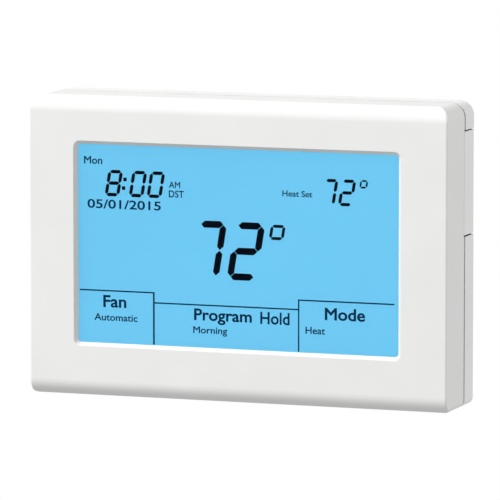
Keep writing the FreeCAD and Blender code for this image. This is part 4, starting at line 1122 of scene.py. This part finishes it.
@dataclass
class Studio:
    """Camera, soft boxes, pale floor and surroundings."""

    turn_degrees: float = 19.67
    height_degrees: float = 6.93
    distance: float = 1.9407
    lens: float = 402.46
    sensor_width: float = 36.0
    clip_start: float = 0.05
    clip_end: float = 60.0
    aim_right: float = -5.11 * MM
    aim_up: float = -2.31 * MM
    floor_level: float = -0.3
    floor_radius: float = 1.1
    surroundings: float = 0.5
    mirrored_front: float = 0.02
    mirrored_behind: float = 0.6
    lights: list[SoftLight] = field(default_factory=lambda: [
        SoftLight("key_above", (-1.92, -1.52, 2.08), 1.45, 95.0),
        SoftLight("fill_front", (0.9, -1.9, 0.8), 0.8, 5.0),
        SoftLight("rim_right", (1.9, 0.7, 0.4), 0.9, 8.5),
    ])

    def build(self) -> None:
        """Set the whole stage."""
        self._camera()
        for light in self.lights:
            light.build()
        self._floor()
        self._world()
        bpy.context.scene.view_settings.view_transform = "Standard"

    def _camera(self) -> None:
        """Long lens, slightly above the display and to its right."""
        turn, lift = math.radians(self.turn_degrees), math.radians(self.height_degrees)
        back = Vector((math.sin(turn) * math.cos(lift), -math.cos(turn) * math.cos(lift), math.sin(lift)))
        right = Vector((0, 0, 1)).cross(back).normalized()
        up = back.cross(right)
        data = bpy.data.cameras.new("camera")
        data.lens = self.lens
        data.sensor_width = self.sensor_width
        data.clip_start = self.clip_start
        data.clip_end = self.clip_end
        camera = placed("camera", data)
        camera.location = back * self.distance + right * self.aim_right + up * self.aim_up
        camera.rotation_mode = "QUATERNION"
        camera.rotation_quaternion = Matrix((right, up, back)).transposed().to_quaternion()
        bpy.context.scene.camera = camera

    def _floor(self) -> None:
        """Pale round floor that lightens towards its rim and is clear from below."""
        bm = bmesh.new()
        bmesh.ops.create_circle(bm, cap_ends=True, radius=self.floor_radius, segments=96,
                                matrix=Matrix.Translation(Vector((0, 0, self.floor_level))))
        mesh = bpy.data.meshes.new("floor")
        bm.to_mesh(mesh)
        bm.free()
        floor = placed("floor", mesh)
        mesh.materials.append(self._floor_material())
        floor.visible_diffuse = False
        floor.visible_glossy = False

    def _floor_material(self) -> Material:
        """Pale matt floor that fades out towards its rim.

        Returns:
            The material.
        """
        material, shader, principled = start_material("pale_floor")
        shader.feed(principled, {"Base Color": (0.72, 0.72, 0.71, 1.0), "Roughness": 0.8})
        flat = shader.add("ShaderNodeVectorMath", {0: shader.place(), 1: (1.0, 1.0, 0.0)},
                          operation="MULTIPLY")
        away = shader.add("ShaderNodeVectorMath", {0: flat.outputs[0]}, operation="LENGTH").outputs["Value"]
        rim = shader.spread(away, 0.0, 1.0, self.floor_radius * 0.4, self.floor_radius * 0.98)
        clear = shader.add("ShaderNodeBsdfTransparent").outputs[0]
        merged = shader.mix(rim, principled.outputs[0], clear)
        below = shader.add("ShaderNodeNewGeometry").outputs["Backfacing"]
        output = next(node for node in shader.tree.nodes if node.type == "OUTPUT_MATERIAL")
        shader.feed(output, {"Surface": shader.mix(below, merged, clear)})
        return material

    def _world(self) -> None:
        """White to look at, softer as a light."""
        world = bpy.data.worlds.new("surroundings")
        world.use_nodes = True
        world.node_tree.nodes.clear()
        shader = ShaderTree(world.node_tree)
        way = shader.add("ShaderNodeTexCoord").outputs["Generated"]
        behind = shader.add("ShaderNodeSeparateXYZ", {0: way}).outputs["Y"]
        reflected = shader.spread(behind, self.mirrored_front, self.mirrored_behind, -0.25, 0.35)
        seen, lit, mirrored = (
            shader.add("ShaderNodeBackground", {"Color": (1, 1, 1, 1), "Strength": strength}).outputs[0]
            for strength in (1.0, self.surroundings, reflected))
        path = shader.add("ShaderNodeLightPath").outputs
        soft = shader.mix(path["Is Glossy Ray"], lit, mirrored)
        shader.add("ShaderNodeOutputWorld", {"Surface": shader.mix(path["Is Camera Ray"], soft, seen)})
        bpy.context.scene.world = world


def build_cells(wardrobe: Wardrobe) -> None:
    """Make both cells, which lie in opposite directions.

    Args:
        wardrobe: Source of the materials.
    """
    for node, nub_right in (("upper_cell", True), ("lower_cell", False)):
        low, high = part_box(node)
        start, end = (high.x - BAND_WIDTH, high.x) if nub_right else (low.x, low.x + BAND_WIDTH)
        sleeve = CellSleeve(node + "_sleeve", start, end).build(wardrobe.effects)
        Cell(node, node + "_body").build(sleeve, wardrobe.materials["cell_steel"], nub_right)


def main() -> None:
    """Build the pieces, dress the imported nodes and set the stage."""
    logging.basicConfig(level=logging.INFO, format="%(message)s")
    wardrobe = Wardrobe()
    wardrobe.dress()
    glass, ink, small_ink, wire = (wardrobe.materials[name] for name in (
        "touch_glass", "segment_ink", "caption_ink", "spring_wire"))
    TouchDisplay().build(glass, ink, small_ink)
    build_cells(wardrobe)
    ContactSpring("bay_spring", "bay_coil", Body.DISPLAY_UNIT, 4.6).build(wire)
    ContactSpring("tray_spring", "tray_coil", Body.BATTERY_DRAWER, 3.2).build(wire)
    Studio().build()


if __name__ == "__main__":
    main()
